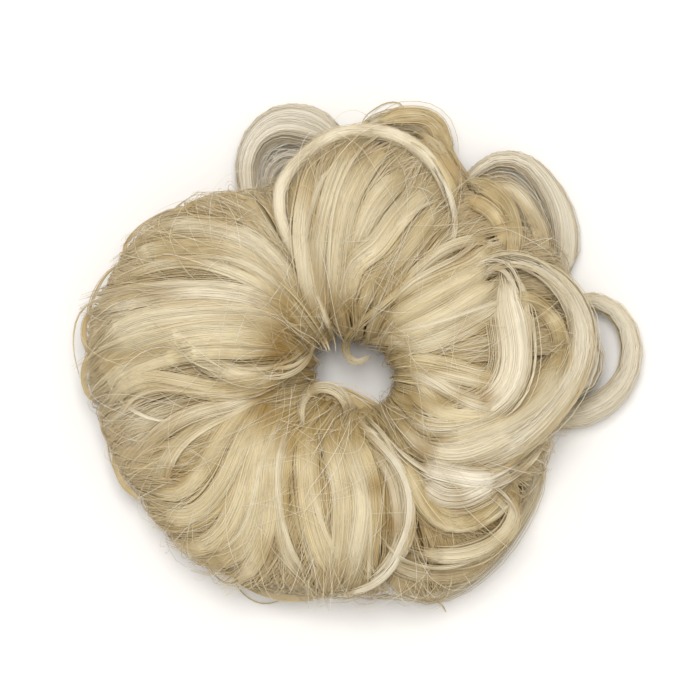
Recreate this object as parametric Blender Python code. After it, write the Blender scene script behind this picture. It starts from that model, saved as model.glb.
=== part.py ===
"""Top knot hairpiece: locks of synthetic hair sewn round an elastic band, lying on a table.

Tables and sizes are in millimetres and degrees. X is to the right and Y is up as the
piece is seen from above, and Z is up from the table. Meshes are made in metres.
"""

import math
from collections import namedtuple

import bmesh
import bpy
from mathutils import Vector
from mathutils.bvhtree import BVHTree

MM = 0.001

# Driving sizes
RING_CENTRE = (-1.75, -4.0)
RIM_RADII = (15.2, 12.8)
RIM_TURN = -20.0
BAND_RADIUS = 20.0
BAND_THICKNESS = 4.8
BAND_BOTTOM = 0.6
GIRTH_HEIGHT = 13.0
LOWEST = 1.0
GAP = 0.4
SEAM_GAP = 0.28
SEAT_GAP = 0.3

# The hollow channel under the base, which the band lies in
CHANNEL_CLEARANCE = 0.4
CHANNEL_TOP = BAND_BOTTOM + BAND_THICKNESS + CHANNEL_CLEARANCE

# The sewn base follows the body over these turns. Then its outer wall runs down to the
# table: each row is a share of the way out to the locks' tips, and a height. Under the
# loops it stands back, and under locks that curl in it fills them.
BASE_TOP_TURNS = (-20, 25, 50, 75, 100, 122, 145)
Wall = namedtuple("Wall", "share height")
WALL_AT_LOOPS = (Wall(0.93, 18.5), Wall(0.92, 12.4), Wall(0.79, 11.2), Wall(0.78, 9.5), Wall(0.70, 0.0))
WALL_AT_CURLED = (Wall(0.93, 18.5), Wall(0.94, 12.4), Wall(0.88, 6.8), Wall(0.79, 2.4), Wall(0.70, 0.0))
LOOP_SEAT_SHARE = 0.78
CURLED_FROM = 205
BASE_INNER_FOOT = 0.05

# How finely the shapes are made, and how steeply a crossing lock climbs
PATH_STEPS = 24
RING_STEPS = 6
OVAL_SIDES = 8
STEEPEST = 1.1
ROOT_LENGTH = 3.0
LOCK_TURNS = (-20, 0, 25, 50, 75, 100, 122, 145, 166, 186, 205, 225)

HAIR = (0.78, 0.67, 0.42)
ROOT_HAIR = (0.66, 0.52, 0.29)
ELASTIC = (0.60, 0.47, 0.30)

# One row for each lock that wraps the ring, anticlockwise from the right. Each row gives
# the seam on the lock's clockwise side: where it leaves the rim, a point half way out,
# its tip, and its height at the crest. Then how far round the body the lock wraps, and
# how thick it is.
Wrap = namedtuple("Wrap", "name root_deg mid_x mid_y tip_x tip_y crest wrap_deg thick")
WRAPS = [
    Wrap("lock_right_1", 5, 22.0, -2.2, 49.0, 1.5, 27.0, 186, 5.0),
    Wrap("lock_right_2", 20, 22.0, 5.2, 50.0, 14.0, 28.0, 186, 5.0),
    Wrap("lock_right_3", 33, 20.8, 14.0, 47.5, 24.0, 28.5, 186, 5.4),
    Wrap("lock_right_4", 47, 17.0, 19.0, 37.5, 31.0, 27.0, 186, 4.4),
    Wrap("lock_crown_1", 60, 13.2, 24.5, 24.5, 40.0, 28.5, 186, 5.8),
    Wrap("lock_crown_2", 75, 7.0, 30.0, 16.5, 49.5, 31.0, 186, 6.2),
    Wrap("lock_crown_3", 90, -3.0, 34.0, 5.8, 52.5, 31.5, 186, 6.2),
    Wrap("lock_crown_4", 106, -11.5, 33.5, -6.8, 50.0, 28.5, 186, 3.6),
    Wrap("lock_left_1", 118, -18.5, 27.8, -23.5, 37.5, 26.5, 186, 5.2),
    Wrap("lock_left_2", 130, -25.0, 23.8, -39.5, 36.2, 28.0, 195, 5.4),
    Wrap("lock_left_3", 141, -30.5, 21.2, -50.2, 28.8, 28.0, 215, 5.2),
    Wrap("lock_left_4", 152, -34.2, 16.8, -57.2, 21.2, 26.0, 225, 4.6),
    Wrap("lock_left_5", 164, -36.0, 11.2, -60.5, 14.0, 27.5, 230, 6.4),
    Wrap("lock_left_6", 178, -36.8, 1.0, -63.2, -1.0, 29.0, 222, 5.4),
    Wrap("lock_left_7", 192, -36.8, -8.0, -61.8, -12.0, 26.5, 215, 4.4),
    Wrap("lock_low_left_1", 205, -35.5, -16.5, -58.0, -23.5, 25.5, 222, 4.6),
    Wrap("lock_low_left_2", 217, -31.5, -23.0, -51.2, -33.0, 26.5, 225, 5.2),
    Wrap("lock_low_left_3", 229, -27.5, -28.5, -42.5, -43.8, 28.0, 212, 5.2),
    Wrap("lock_bottom_1", 241, -23.0, -31.8, -32.0, -52.2, 29.0, 186, 5.4),
    Wrap("lock_bottom_2", 252, -17.5, -34.2, -20.8, -55.2, 27.0, 186, 4.4),
    Wrap("lock_bottom_3", 263, -12.0, -35.0, -12.6, -56.0, 28.5, 186, 5.4),
    Wrap("lock_bottom_4", 275, -5.0, -34.8, -5.6, -56.2, 29.0, 186, 5.8),
    Wrap("lock_bottom_5", 288, 3.5, -35.2, 4.4, -56.6, 27.5, 186, 4.6),
    Wrap("lock_low_right_1", 301, 11.5, -34.8, 17.0, -58.0, 26.0, 186, 4.8),
    Wrap("lock_low_right_2", 316, 16.5, -28.0, 31.5, -48.0, 26.0, 186, 5.0),
    Wrap("lock_low_right_3", 331, 20.0, -19.8, 41.0, -29.2, 27.0, 186, 5.2),
    Wrap("lock_right_5", 348, 22.0, -11.0, 47.5, -15.5, 26.5, 186, 4.8),
]

# One row for each lock that lies across the wrapped ones. Its path, as seen from above,
# is a list of places, each with its x, its y and the lock's width there.
Curl = namedtuple("Curl", "name thick path")
CURLS = [
    Curl("curl_right_drop", 4.4, [
        (35.2, 22.0, 3.0), (37.5, 15.2, 5.5), (38.0, 6.5, 7.0), (37.5, -2.2, 7.5), (34.5, -9.0, 7.5),
        (28.0, -13.5, 7.0), (20.5, -16.0, 6.5), (13.5, -15.5, 4.0)]),
    Curl("curl_right_sweep", 4.8, [
        (34.5, 24.2, 2.5), (43.2, 21.8, 4.0), (49.5, 17.2, 5.5), (54.0, 10.2, 6.2), (55.0, 2.8, 6.2),
        (52.5, -5.0, 6.5), (47.5, -11.8, 7.5), (40.8, -17.2, 8.0), (32.0, -21.6, 7.5), (23.2, -23.8, 6.0),
        (15.8, -24.6, 3.5)]),
    Curl("curl_crown_arch", 2.8, [
        (-8.4, 6.5, 2.0), (-12.0, 14.0, 2.4), (-15.5, 23.5, 2.8), (-19.5, 32.0, 3.0), (-20.5, 40.0, 3.0),
        (-17.5, 46.5, 3.0), (-10.5, 52.8, 3.2), (-2.0, 55.8, 3.4), (7.5, 54.8, 3.4), (15.5, 50.0, 3.2),
        (20.0, 43.0, 2.8), (22.2, 36.0, 2.2)]),
    Curl("curl_left", 3.4, [
        (-15.2, 0.8, 2.5), (-18.5, -2.8, 3.6), (-24.0, -4.6, 4.8), (-30.5, -4.4, 5.0), (-37.0, -2.2, 5.0),
        (-42.5, 1.5, 4.0), (-46.5, 4.8, 2.6)]),
    Curl("curl_bottom", 3.4, [
        (1.0, -18.0, 2.6), (6.5, -23.5, 3.8), (10.2, -31.0, 4.5), (11.2, -39.0, 4.5), (10.0, -46.0, 4.5),
        (6.5, -52.0, 3.8), (2.0, -55.8, 2.6)]),
    Curl("curl_low_right_pale", 3.8, [
        (13.5, -28.6, 2.5), (17.5, -30.4, 4.5), (22.2, -31.9, 6.6), (27.8, -31.8, 6.6), (33.2, -30.4, 5.2),
        (38.5, -28.0, 3.0)]),
    Curl("curl_low_right", 3.8, [
        (34.2, -35.0, 2.2), (37.0, -38.0, 3.0), (37.0, -41.4, 3.6), (34.5, -44.4, 4.2), (30.2, -47.6, 5.0),
        (24.0, -49.8, 5.4), (18.2, -50.4, 4.4)]),
]

# One row for each loop that stands out past the ring near the table: its lowest and
# highest point, where it leaves the sewn base and comes back to it, counted in locks
# round the ring, how wide it is there, and its path between them in the same form.
Loop = namedtuple("Loop", "name low high leaves returns root_width path")
LOOPS = [
    Loop("loop_top_left", 0.8, 10.2, 8.4, 6.75, 3.4, [
        (-28.6, 41.5, 4.6), (-29.0, 48.5, 5.0), (-26.4, 54.8, 6.2), (-20.5, 58.5, 8.6), (-13.4, 57.8, 9.6),
        (-7.6, 54.2, 6.8)]),
    Loop("loop_top_back", 0.8, 10.2, 6.2, 4.6, 3.2, [
        (-1.0, 53.2, 4.2), (3.8, 57.4, 5.6), (10.0, 58.6, 6.0), (16.0, 57.0, 6.0), (20.0, 51.2, 5.2)]),
    Loop("loop_top_right_outer", 0.8, 10.2, 4.2, 1.9, 2.6, [
        (27.0, 44.6, 2.8), (33.6, 49.3, 3.6), (41.5, 48.0, 4.8), (48.2, 39.5, 6.4), (50.8, 29.5, 7.2),
        (49.0, 21.5, 5.0)]),
    Loop("loop_top_right_inner", 0.8, 10.2, 3.6, 2.5, 2.8, [
        (28.6, 38.4, 4.0), (33.6, 41.4, 5.4), (38.8, 39.0, 6.2), (42.2, 32.4, 6.2), (40.6, 26.4, 4.4)]),
    Loop("loop_right", 0.8, 9.8, 1.1, 25.8, 3.4, [
        (51.0, 12.8, 4.0), (58.2, 13.8, 4.0), (64.6, 10.2, 4.4), (67.5, 2.8, 4.9), (66.2, -5.4, 5.2),
        (60.6, -11.8, 6.2), (52.4, -15.2, 6.2)]),
    Loop("loop_right_inner", 0.8, 10.2, 0.6, 26.5, 3.2, [
        (50.5, 6.4, 4.6), (56.2, 3.6, 5.6), (57.2, -2.6, 6.0), (52.6, -8.0, 5.2)]),
    Loop("loop_low_right", 0.6, 10.2, 25.2, 22.4, 3.4, [
        (39.4, -22.8, 4.4), (43.0, -27.4, 5.4), (41.4, -34.6, 6.0), (36.6, -43.6, 6.0), (30.6, -51.0, 6.0),
        (22.6, -57.0, 6.0), (14.0, -58.8, 5.8), (8.2, -54.6, 4.4)]),
    Loop("loop_bottom", 0.6, 10.2, 18.4, 21.6, 3.4, [
        (-29.4, -52.8, 4.4), (-22.6, -56.8, 5.0), (-12.0, -57.8, 5.0), (-2.6, -56.4, 4.4)]),
]


def clear_scene():
    for obj in list(bpy.data.objects):
        bpy.data.objects.remove(obj)


def material(name, colour, roughness):
    made = bpy.data.materials.new(name)
    made.use_nodes = True
    shader = made.node_tree.nodes["Principled BSDF"]
    shader.inputs["Base Color"].default_value = (*colour, 1.0)
    shader.inputs["Roughness"].default_value = roughness
    return made


def new_object(name, mesh, collection, finish):
    obj = bpy.data.objects.new(name, mesh)
    mesh.materials.append(finish)
    mesh.shade_smooth()
    mesh.set_sharp_from_angle(angle=math.radians(50))
    collection.objects.link(obj)
    return obj


def loft(name, sections, collection, finish, ring=False):
    """A closed solid through sections, each a loop of as many points in millimetres."""
    shape = bmesh.new()
    loops = [[shape.verts.new(point * MM) for point in section] for section in sections]
    pairs = list(zip(loops, loops[1:]))
    if ring:
        pairs.append((loops[-1], loops[0]))
    else:
        shape.faces.new(loops[0])
        shape.faces.new(loops[-1])
    count = len(loops[0])
    for near, far in pairs:
        for i in range(count):
            j = (i + 1) % count
            shape.faces.new((near[i], near[j], far[j], far[i]))
    bmesh.ops.recalc_face_normals(shape, faces=shape.faces)
    mesh = bpy.data.meshes.new(name)
    shape.to_mesh(mesh)
    shape.free()
    return new_object(name, mesh, collection, finish)


# The body of the ring

def rim_point(degrees):
    """The place on the oval rim of the hole that lies this way from its centre."""
    turn = math.radians(RIM_TURN)
    angle = math.radians(degrees) - turn
    long, short = RIM_RADII
    radius = long * short / math.hypot(short * math.cos(angle), long * math.sin(angle))
    return circle_point(degrees, radius)


def circle_point(degrees, radius):
    angle = math.radians(degrees)
    return Vector((
        RING_CENTRE[0] + radius * math.cos(angle),
        RING_CENTRE[1] + radius * math.sin(angle),
        0.0,
    ))


def seam_plan(row, share):
    """The place on a seam, seen from above, at a share of the way from rim to tip."""
    root = rim_point(row.root_deg)
    mid = Vector((row.mid_x, row.mid_y, 0.0))
    tip = Vector((row.tip_x, row.tip_y, 0.0))
    return (
        root * (1 - share) * (1 - 2 * share)
        + mid * 4 * share * (1 - share)
        + tip * share * (2 * share - 1)
    )


def body_point(index, across, turn):
    """The body's surface between two seams: across is 0 to 1, and turn runs in degrees
    from 0 at the rim of the hole, over the crest at 90, to 180 at the widest girth."""
    row, following = WRAPS[index], WRAPS[(index + 1) % len(WRAPS)]
    angle = math.radians(turn)
    share = (1 - math.cos(angle)) / 2
    point = seam_plan(row, share).lerp(seam_plan(following, share), across)
    crest = row.crest + (following.crest - row.crest) * across
    reach = crest - GIRTH_HEIGHT if math.sin(angle) > 0 else GIRTH_HEIGHT - LOWEST
    point.z = GIRTH_HEIGHT + reach * math.sin(angle)
    return point


def panel_normal(index, turn):
    along = body_point(index, 0.5, turn + 1) - body_point(index, 0.5, turn - 1)
    side = body_point(index, 1.0, turn) - body_point(index, 0.0, turn)
    return along.cross(side).normalized()


def body_normal(index, across, turn):
    """The outward direction, which two neighbours share at their seam."""
    here = panel_normal(index, turn)
    first = here + panel_normal((index - 1) % len(WRAPS), turn)
    last = here + panel_normal((index + 1) % len(WRAPS), turn)
    return first.normalized().lerp(last.normalized(), across).normalized()


# The pieces

def wrapped_lock(index, collection, finish):
    """A lock that lies on the body from the hole's rim, over the crest, to the outside."""
    row = WRAPS[index]
    turns = [turn for turn in LOCK_TURNS if turn < row.wrap_deg - 12]
    turns += [row.wrap_deg - 6, row.wrap_deg]
    sections = []
    for turn in turns:
        width = (body_point(index, 1, turn) - body_point(index, 0, turn)).length
        edge = SEAM_GAP / width
        to_end = row.wrap_deg - turn
        narrowed = 0.20 * max(0.0, 1 - to_end / 12)
        rise = math.sin(math.radians(min(90.0, 20 + max(0.0, turn + 20) * 1.1)))
        crown = row.thick * rise * (0.45 + 0.55 * min(1.0, to_end / 30))
        lip = 0.34 * crown
        outer = []
        for place in (-1.0, -0.55, 0.0, 0.55, 1.0):
            across = 0.5 + place * (0.5 - edge - narrowed)
            lift = GAP + lip + (crown - lip) * math.sqrt(1 - place * place)
            outer.append(body_point(index, across, turn) + lift * body_normal(index, across, turn))
        inner = []
        for place in (1.0, 0.0, -1.0):
            across = 0.5 + place * (0.5 - edge - narrowed)
            inner.append(body_point(index, across, turn) + GAP * body_normal(index, across, turn))
        sections.append(outer + inner)
    return loft(row.name, sections, collection, finish)


def sewn_base(collection, finish):
    """The dense ring of sewn hair under the locks, with a channel below for the band."""
    half_band = BAND_THICKNESS / 2 + CHANNEL_CLEARANCE
    sections = []
    for index, row in enumerate(WRAPS):
        following = WRAPS[(index + 1) % len(WRAPS)]
        span = (following.root_deg - row.root_deg) % 360
        for across in (0.0, 0.5):
            bearing = row.root_deg + span * across
            section = [body_point(index, across, turn) for turn in BASE_TOP_TURNS]
            curled = row.wrap_deg > CURLED_FROM and (across or WRAPS[index - 1].wrap_deg > CURLED_FROM)
            for share, height in WALL_AT_CURLED if curled else WALL_AT_LOOPS:
                foot = seam_plan(row, share).lerp(seam_plan(following, share), across)
                section.append(Vector((foot.x, foot.y, height)))
            for radius, height in (
                (BAND_RADIUS + half_band, 0.0),
                (BAND_RADIUS + half_band, CHANNEL_TOP),
                (BAND_RADIUS - half_band, CHANNEL_TOP),
                (BAND_RADIUS - half_band, 0.0),
            ):
                point = circle_point(bearing, radius)
                section.append(Vector((point.x, point.y, height)))
            foot = seam_plan(row, BASE_INNER_FOOT).lerp(seam_plan(following, BASE_INNER_FOOT), across)
            section.append(Vector((foot.x, foot.y, 0.0)))
            sections.append(section)
    return loft("sewn_base", sections, collection, finish, ring=True)


def elastic_band(collection, finish):
    centre = Vector((*RING_CENTRE, BAND_BOTTOM + BAND_THICKNESS / 2)) * MM
    bpy.ops.mesh.primitive_torus_add(
        location=centre,
        major_segments=54,
        minor_segments=10,
        major_radius=BAND_RADIUS * MM,
        minor_radius=BAND_THICKNESS / 2 * MM,
    )
    band = bpy.context.active_object
    band.name = "elastic_band"
    band.data.name = "elastic_band"
    band.data.materials.append(finish)
    band.data.shade_smooth()
    for holder in list(band.users_collection):
        holder.objects.unlink(band)
    collection.objects.link(band)
    return band


def smooth_path(places, count):
    """Evenly spaced points on a smooth curve through the places, and the width at each."""
    knots = [Vector(place) for place in places]
    knots = [2 * knots[0] - knots[1], *knots, 2 * knots[-1] - knots[-2]]
    fine = []
    for a, b, c, d in zip(knots, knots[1:], knots[2:], knots[3:]):
        for step in range(PATH_STEPS):
            t = step / PATH_STEPS
            fine.append(0.5 * (
                2 * b + (c - a) * t + (2 * a - 5 * b + 4 * c - d) * t * t
                + (3 * b - a - 3 * c + d) * t ** 3
            ))
    fine.append(knots[-2])
    lengths = [0.0]
    for near, far in zip(fine, fine[1:]):
        lengths.append(lengths[-1] + (far.xy - near.xy).length)
    even = []
    k = 0
    for i in range(count):
        wanted = lengths[-1] * i / (count - 1)
        while k < len(fine) - 2 and lengths[k + 1] < wanted:
            k += 1
        share = (wanted - lengths[k]) / (lengths[k + 1] - lengths[k])
        even.append(fine[k].lerp(fine[k + 1], share))
    points = [Vector((place.x, place.y, 0.0)) for place in even]
    widths = [place.z for place in even]
    return points, widths


def path_sides(points):
    """The level direction square to the path at each of its points."""
    sides = []
    for i in range(len(points)):
        along = points[min(i + 1, len(points) - 1)] - points[max(i - 1, 0)]
        sides.append(Vector((-along.y, along.x, 0.0)).normalized())
    return sides


def oval(centre, side, half_width, half_thick):
    section = []
    for k in range(OVAL_SIDES):
        angle = 2 * math.pi * (k + 0.5) / OVAL_SIDES
        offset = side * half_width * math.cos(angle)
        offset.z = half_thick * math.sin(angle)
        section.append(centre + offset)
    return section


def surface_of(objects):
    """What lies under a crossing lock, for finding its height, in millimetres."""
    corners = []
    faces = []
    for obj in objects:
        first = len(corners)
        corners += [vertex.co / MM for vertex in obj.data.vertices]
        faces += [[first + k for k in face.vertices] for face in obj.data.polygons]
    return BVHTree.FromPolygons(corners, faces)


def resting_height(surface, point, side, half_width, half_thick):
    """How high the middle of a crossing lock lies here to clear what is below it."""
    height = GIRTH_HEIGHT
    for place in (-1.0, -0.8, -0.6, -0.3, 0.0, 0.3, 0.6, 0.8, 1.0):
        above = point + side * half_width * place
        above.z = 100.0
        below = surface.ray_cast(above, Vector((0.0, 0.0, -1.0)))[0]
        if below:
            height = max(height, below.z + GAP + half_thick * math.sqrt(1 - place * place))
    return height


def crossing_lock(row, objects, collection, finish):
    """A lock that lies across the others, at the height where it clears them."""
    surface = surface_of(objects)
    rings = round(len(row.path) * 1.9)
    points, widths = smooth_path(row.path, (rings - 1) * RING_STEPS + 1)
    sides = path_sides(points)
    spacing = (points[1] - points[0]).length
    thicks = [row.thick * math.sqrt(width / max(widths)) for width in widths]
    heights = [
        resting_height(surface, point, side, width / 2, thick / 2)
        for point, side, width, thick in zip(points, sides, widths, thicks)
    ]
    heights = [
        max(other - STEEPEST * spacing * abs(i - k) for k, other in enumerate(heights))
        for i in range(len(heights))
    ]
    sections = []
    for i in range(0, len(points), RING_STEPS):
        centre = points[i].copy()
        centre.z = max(heights[max(0, i - RING_STEPS): i + RING_STEPS + 1])
        sections.append(oval(centre, sides[i], widths[i] / 2, thicks[i] / 2))
    return loft(row.name, sections, collection, finish)


def wall_seat(locks_round, out):
    """A place this far out from the base's wall, at this many locks round the ring."""
    index = int(locks_round)
    row, following = WRAPS[index], WRAPS[(index + 1) % len(WRAPS)]
    start = seam_plan(row, LOOP_SEAT_SHARE)
    end = seam_plan(following, LOOP_SEAT_SHARE)
    outward = (end - start).cross(Vector((0.0, 0.0, 1.0))).normalized()
    return start.lerp(end, locks_round - index) + outward * out


def standing_loop(row, collection, finish):
    """A loop of hair that leaves the base, stands near the table past the body's girth,
    and comes back to the base."""
    ends = []
    for locks_round in (row.leaves, row.returns):
        for out in (SEAT_GAP, ROOT_LENGTH):
            seat = wall_seat(locks_round, out)
            ends.append((seat.x, seat.y, row.root_width))
    path = [ends[0], ends[1], *row.path, ends[3], ends[2]]
    points, widths = smooth_path(path, round(len(path) * 2.0))
    sides = path_sides(points)
    sections = []
    for point, side, width in zip(points, sides, widths):
        half = (row.high - row.low) / 2 * (width / max(widths)) ** 0.4
        centre = point + Vector((0.0, 0.0, row.high - half))
        sections.append(oval(centre, side, width / 2, half))
    return loft(row.name, sections, collection, finish)


def centre_on_origin(objects, collection):
    """Puts the whole piece on one empty, so that its outline's middle is over the origin."""
    corners = [vertex.co + obj.location for obj in objects for vertex in obj.data.vertices]
    low = Vector([min(corner[k] for corner in corners) for k in range(3)])
    high = Vector([max(corner[k] for corner in corners) for k in range(3)])
    frame = bpy.data.objects.new("hairpiece", None)
    frame.location = (-(low.x + high.x) / 2, -(low.y + high.y) / 2, -low.z)
    collection.objects.link(frame)
    for obj in objects:
        obj.parent = frame


def main():
    clear_scene()
    collection = bpy.data.collections.new("top_knot_hairpiece")
    bpy.context.scene.collection.children.link(collection)
    hair = material("hair", HAIR, 0.45)
    root_hair = material("root_hair", ROOT_HAIR, 0.6)
    elastic = material("elastic", ELASTIC, 0.8)

    base = sewn_base(collection, root_hair)
    band = elastic_band(collection, elastic)
    wraps = [wrapped_lock(i, collection, hair) for i in range(len(WRAPS))]
    curls = []
    for row in CURLS:
        curls.append(crossing_lock(row, [base, *wraps, *curls], collection, hair))
    loops = [standing_loop(row, collection, hair) for row in LOOPS]
    centre_on_origin([base, band, *wraps, *curls, *loops], collection)


main()
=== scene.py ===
"""Looks for the top knot hairpiece: its locks, curls and loops as bundles of fine strands.

Sizes and tables are in millimetres and degrees, in the same layout as the part's own:
X to the right and Y up as the piece is seen from above, Z up from the table. Meshes are
made in metres and set over the part's solids.
"""

import math
from collections import namedtuple

import bpy
import numpy as np
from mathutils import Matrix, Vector
from mathutils.bvhtree import BVHTree


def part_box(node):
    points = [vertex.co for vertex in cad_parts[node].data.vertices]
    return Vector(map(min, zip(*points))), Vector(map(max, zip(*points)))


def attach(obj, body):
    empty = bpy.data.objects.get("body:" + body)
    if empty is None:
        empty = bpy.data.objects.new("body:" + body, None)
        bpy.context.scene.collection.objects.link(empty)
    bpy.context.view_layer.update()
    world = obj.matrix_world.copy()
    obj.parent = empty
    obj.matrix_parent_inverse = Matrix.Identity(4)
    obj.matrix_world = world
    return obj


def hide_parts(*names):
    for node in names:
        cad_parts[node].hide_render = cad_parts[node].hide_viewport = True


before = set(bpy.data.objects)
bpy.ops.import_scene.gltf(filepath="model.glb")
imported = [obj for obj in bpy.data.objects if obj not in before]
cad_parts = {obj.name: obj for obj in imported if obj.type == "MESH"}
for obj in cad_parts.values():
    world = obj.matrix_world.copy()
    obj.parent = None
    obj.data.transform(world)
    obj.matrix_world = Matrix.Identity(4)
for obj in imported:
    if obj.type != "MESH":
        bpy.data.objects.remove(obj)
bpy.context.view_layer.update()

MM = 0.001
RANDOM = np.random.default_rng(11)

# The part's driving sizes
RING_CENTRE = (-1.75, -4.0)
RIM_RADII = (15.2, 12.8)
RIM_TURN = -20.0
GIRTH_HEIGHT = 13.0
LOWEST = 1.0
GAP = 0.4
SEAT_GAP = 0.3
ROOT_LENGTH = 3.0
LOOP_SEAT_SHARE = 0.78
FIRST_TURN = -20.0
ROOT_TURN = -48.0

# One row for each lock that wraps the ring, anticlockwise from the right. Each row gives
# the seam on the lock's clockwise side: where it leaves the rim, a point half way out,
# its tip, and its height at the crest. Then how far round the body the lock wraps, and
# how thick it is.
Wrap = namedtuple("Wrap", "name root_deg mid_x mid_y tip_x tip_y crest wrap_deg thick")
WRAPS = [
    Wrap("lock_right_1", 5, 22.0, -2.2, 49.0, 1.5, 27.0, 186, 5.0),
    Wrap("lock_right_2", 20, 22.0, 5.2, 50.0, 14.0, 28.0, 186, 5.0),
    Wrap("lock_right_3", 33, 20.8, 14.0, 47.5, 24.0, 28.5, 186, 5.4),
    Wrap("lock_right_4", 47, 17.0, 19.0, 37.5, 31.0, 27.0, 186, 4.4),
    Wrap("lock_crown_1", 60, 13.2, 24.5, 24.5, 40.0, 28.5, 186, 5.8),
    Wrap("lock_crown_2", 75, 7.0, 30.0, 16.5, 49.5, 31.0, 186, 6.2),
    Wrap("lock_crown_3", 90, -3.0, 34.0, 5.8, 52.5, 31.5, 186, 6.2),
    Wrap("lock_crown_4", 106, -11.5, 33.5, -6.8, 50.0, 28.5, 186, 3.6),
    Wrap("lock_left_1", 118, -18.5, 27.8, -23.5, 37.5, 26.5, 186, 5.2),
    Wrap("lock_left_2", 130, -25.0, 23.8, -39.5, 36.2, 28.0, 195, 5.4),
    Wrap("lock_left_3", 141, -30.5, 21.2, -50.2, 28.8, 28.0, 215, 5.2),
    Wrap("lock_left_4", 152, -34.2, 16.8, -57.2, 21.2, 26.0, 225, 4.6),
    Wrap("lock_left_5", 164, -36.0, 11.2, -60.5, 14.0, 27.5, 230, 6.4),
    Wrap("lock_left_6", 178, -36.8, 1.0, -63.2, -1.0, 29.0, 222, 5.4),
    Wrap("lock_left_7", 192, -36.8, -8.0, -61.8, -12.0, 26.5, 215, 4.4),
    Wrap("lock_low_left_1", 205, -35.5, -16.5, -58.0, -23.5, 25.5, 222, 4.6),
    Wrap("lock_low_left_2", 217, -31.5, -23.0, -51.2, -33.0, 26.5, 225, 5.2),
    Wrap("lock_low_left_3", 229, -27.5, -28.5, -42.5, -43.8, 28.0, 212, 5.2),
    Wrap("lock_bottom_1", 241, -23.0, -31.8, -32.0, -52.2, 29.0, 186, 5.4),
    Wrap("lock_bottom_2", 252, -17.5, -34.2, -20.8, -55.2, 27.0, 186, 4.4),
    Wrap("lock_bottom_3", 263, -12.0, -35.0, -12.6, -56.0, 28.5, 186, 5.4),
    Wrap("lock_bottom_4", 275, -5.0, -34.8, -5.6, -56.2, 29.0, 186, 5.8),
    Wrap("lock_bottom_5", 288, 3.5, -35.2, 4.4, -56.6, 27.5, 186, 4.6),
    Wrap("lock_low_right_1", 301, 11.5, -34.8, 17.0, -58.0, 26.0, 186, 4.8),
    Wrap("lock_low_right_2", 316, 16.5, -28.0, 31.5, -48.0, 26.0, 186, 5.0),
    Wrap("lock_low_right_3", 331, 20.0, -19.8, 41.0, -29.2, 27.0, 186, 5.2),
    Wrap("lock_right_5", 348, 22.0, -11.0, 47.5, -15.5, 26.5, 186, 4.8),
]

# One row for each lock that lies across the wrapped ones. Its path, as seen from above,
# is a list of places, each with its x, its y and the lock's width there.
Curl = namedtuple("Curl", "name thick path")
CURLS = [
    Curl("curl_right_drop", 4.4, [
        (35.2, 22.0, 3.0), (37.5, 15.2, 5.5), (38.0, 6.5, 7.0), (37.5, -2.2, 7.5), (34.5, -9.0, 7.5),
        (28.0, -13.5, 7.0), (20.5, -16.0, 6.5), (13.5, -15.5, 4.0)]),
    Curl("curl_right_sweep", 4.8, [
        (34.5, 24.2, 2.5), (43.2, 21.8, 4.0), (49.5, 17.2, 5.5), (54.0, 10.2, 6.2), (55.0, 2.8, 6.2),
        (52.5, -5.0, 6.5), (47.5, -11.8, 7.5), (40.8, -17.2, 8.0), (32.0, -21.6, 7.5), (23.2, -23.8, 6.0),
        (15.8, -24.6, 3.5)]),
    Curl("curl_crown_arch", 2.8, [
        (-8.4, 6.5, 2.0), (-12.0, 14.0, 2.4), (-15.5, 23.5, 2.8), (-19.5, 32.0, 3.0), (-20.5, 40.0, 3.0),
        (-17.5, 46.5, 3.0), (-10.5, 52.8, 3.2), (-2.0, 55.8, 3.4), (7.5, 54.8, 3.4), (15.5, 50.0, 3.2),
        (20.0, 43.0, 2.8), (22.2, 36.0, 2.2)]),
    Curl("curl_left", 3.4, [
        (-15.2, 0.8, 2.5), (-18.5, -2.8, 3.6), (-24.0, -4.6, 4.8), (-30.5, -4.4, 5.0), (-37.0, -2.2, 5.0),
        (-42.5, 1.5, 4.0), (-46.5, 4.8, 2.6)]),
    Curl("curl_bottom", 3.4, [
        (1.0, -18.0, 2.6), (6.5, -23.5, 3.8), (10.2, -31.0, 4.5), (11.2, -39.0, 4.5), (10.0, -46.0, 4.5),
        (6.5, -52.0, 3.8), (2.0, -55.8, 2.6)]),
    Curl("curl_low_right_pale", 3.8, [
        (13.5, -28.6, 2.5), (17.5, -30.4, 4.5), (22.2, -31.9, 6.6), (27.8, -31.8, 6.6),
        (33.2, -30.4, 5.2),
        (38.5, -28.0, 3.0)]),
    Curl("curl_low_right", 3.8, [
        (34.2, -35.0, 2.2), (37.0, -38.0, 3.0), (37.0, -41.4, 3.6), (34.5, -44.4, 4.2),
        (30.2, -47.6, 5.0),
        (24.0, -49.8, 5.4), (18.2, -50.4, 4.4)]),
]

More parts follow.
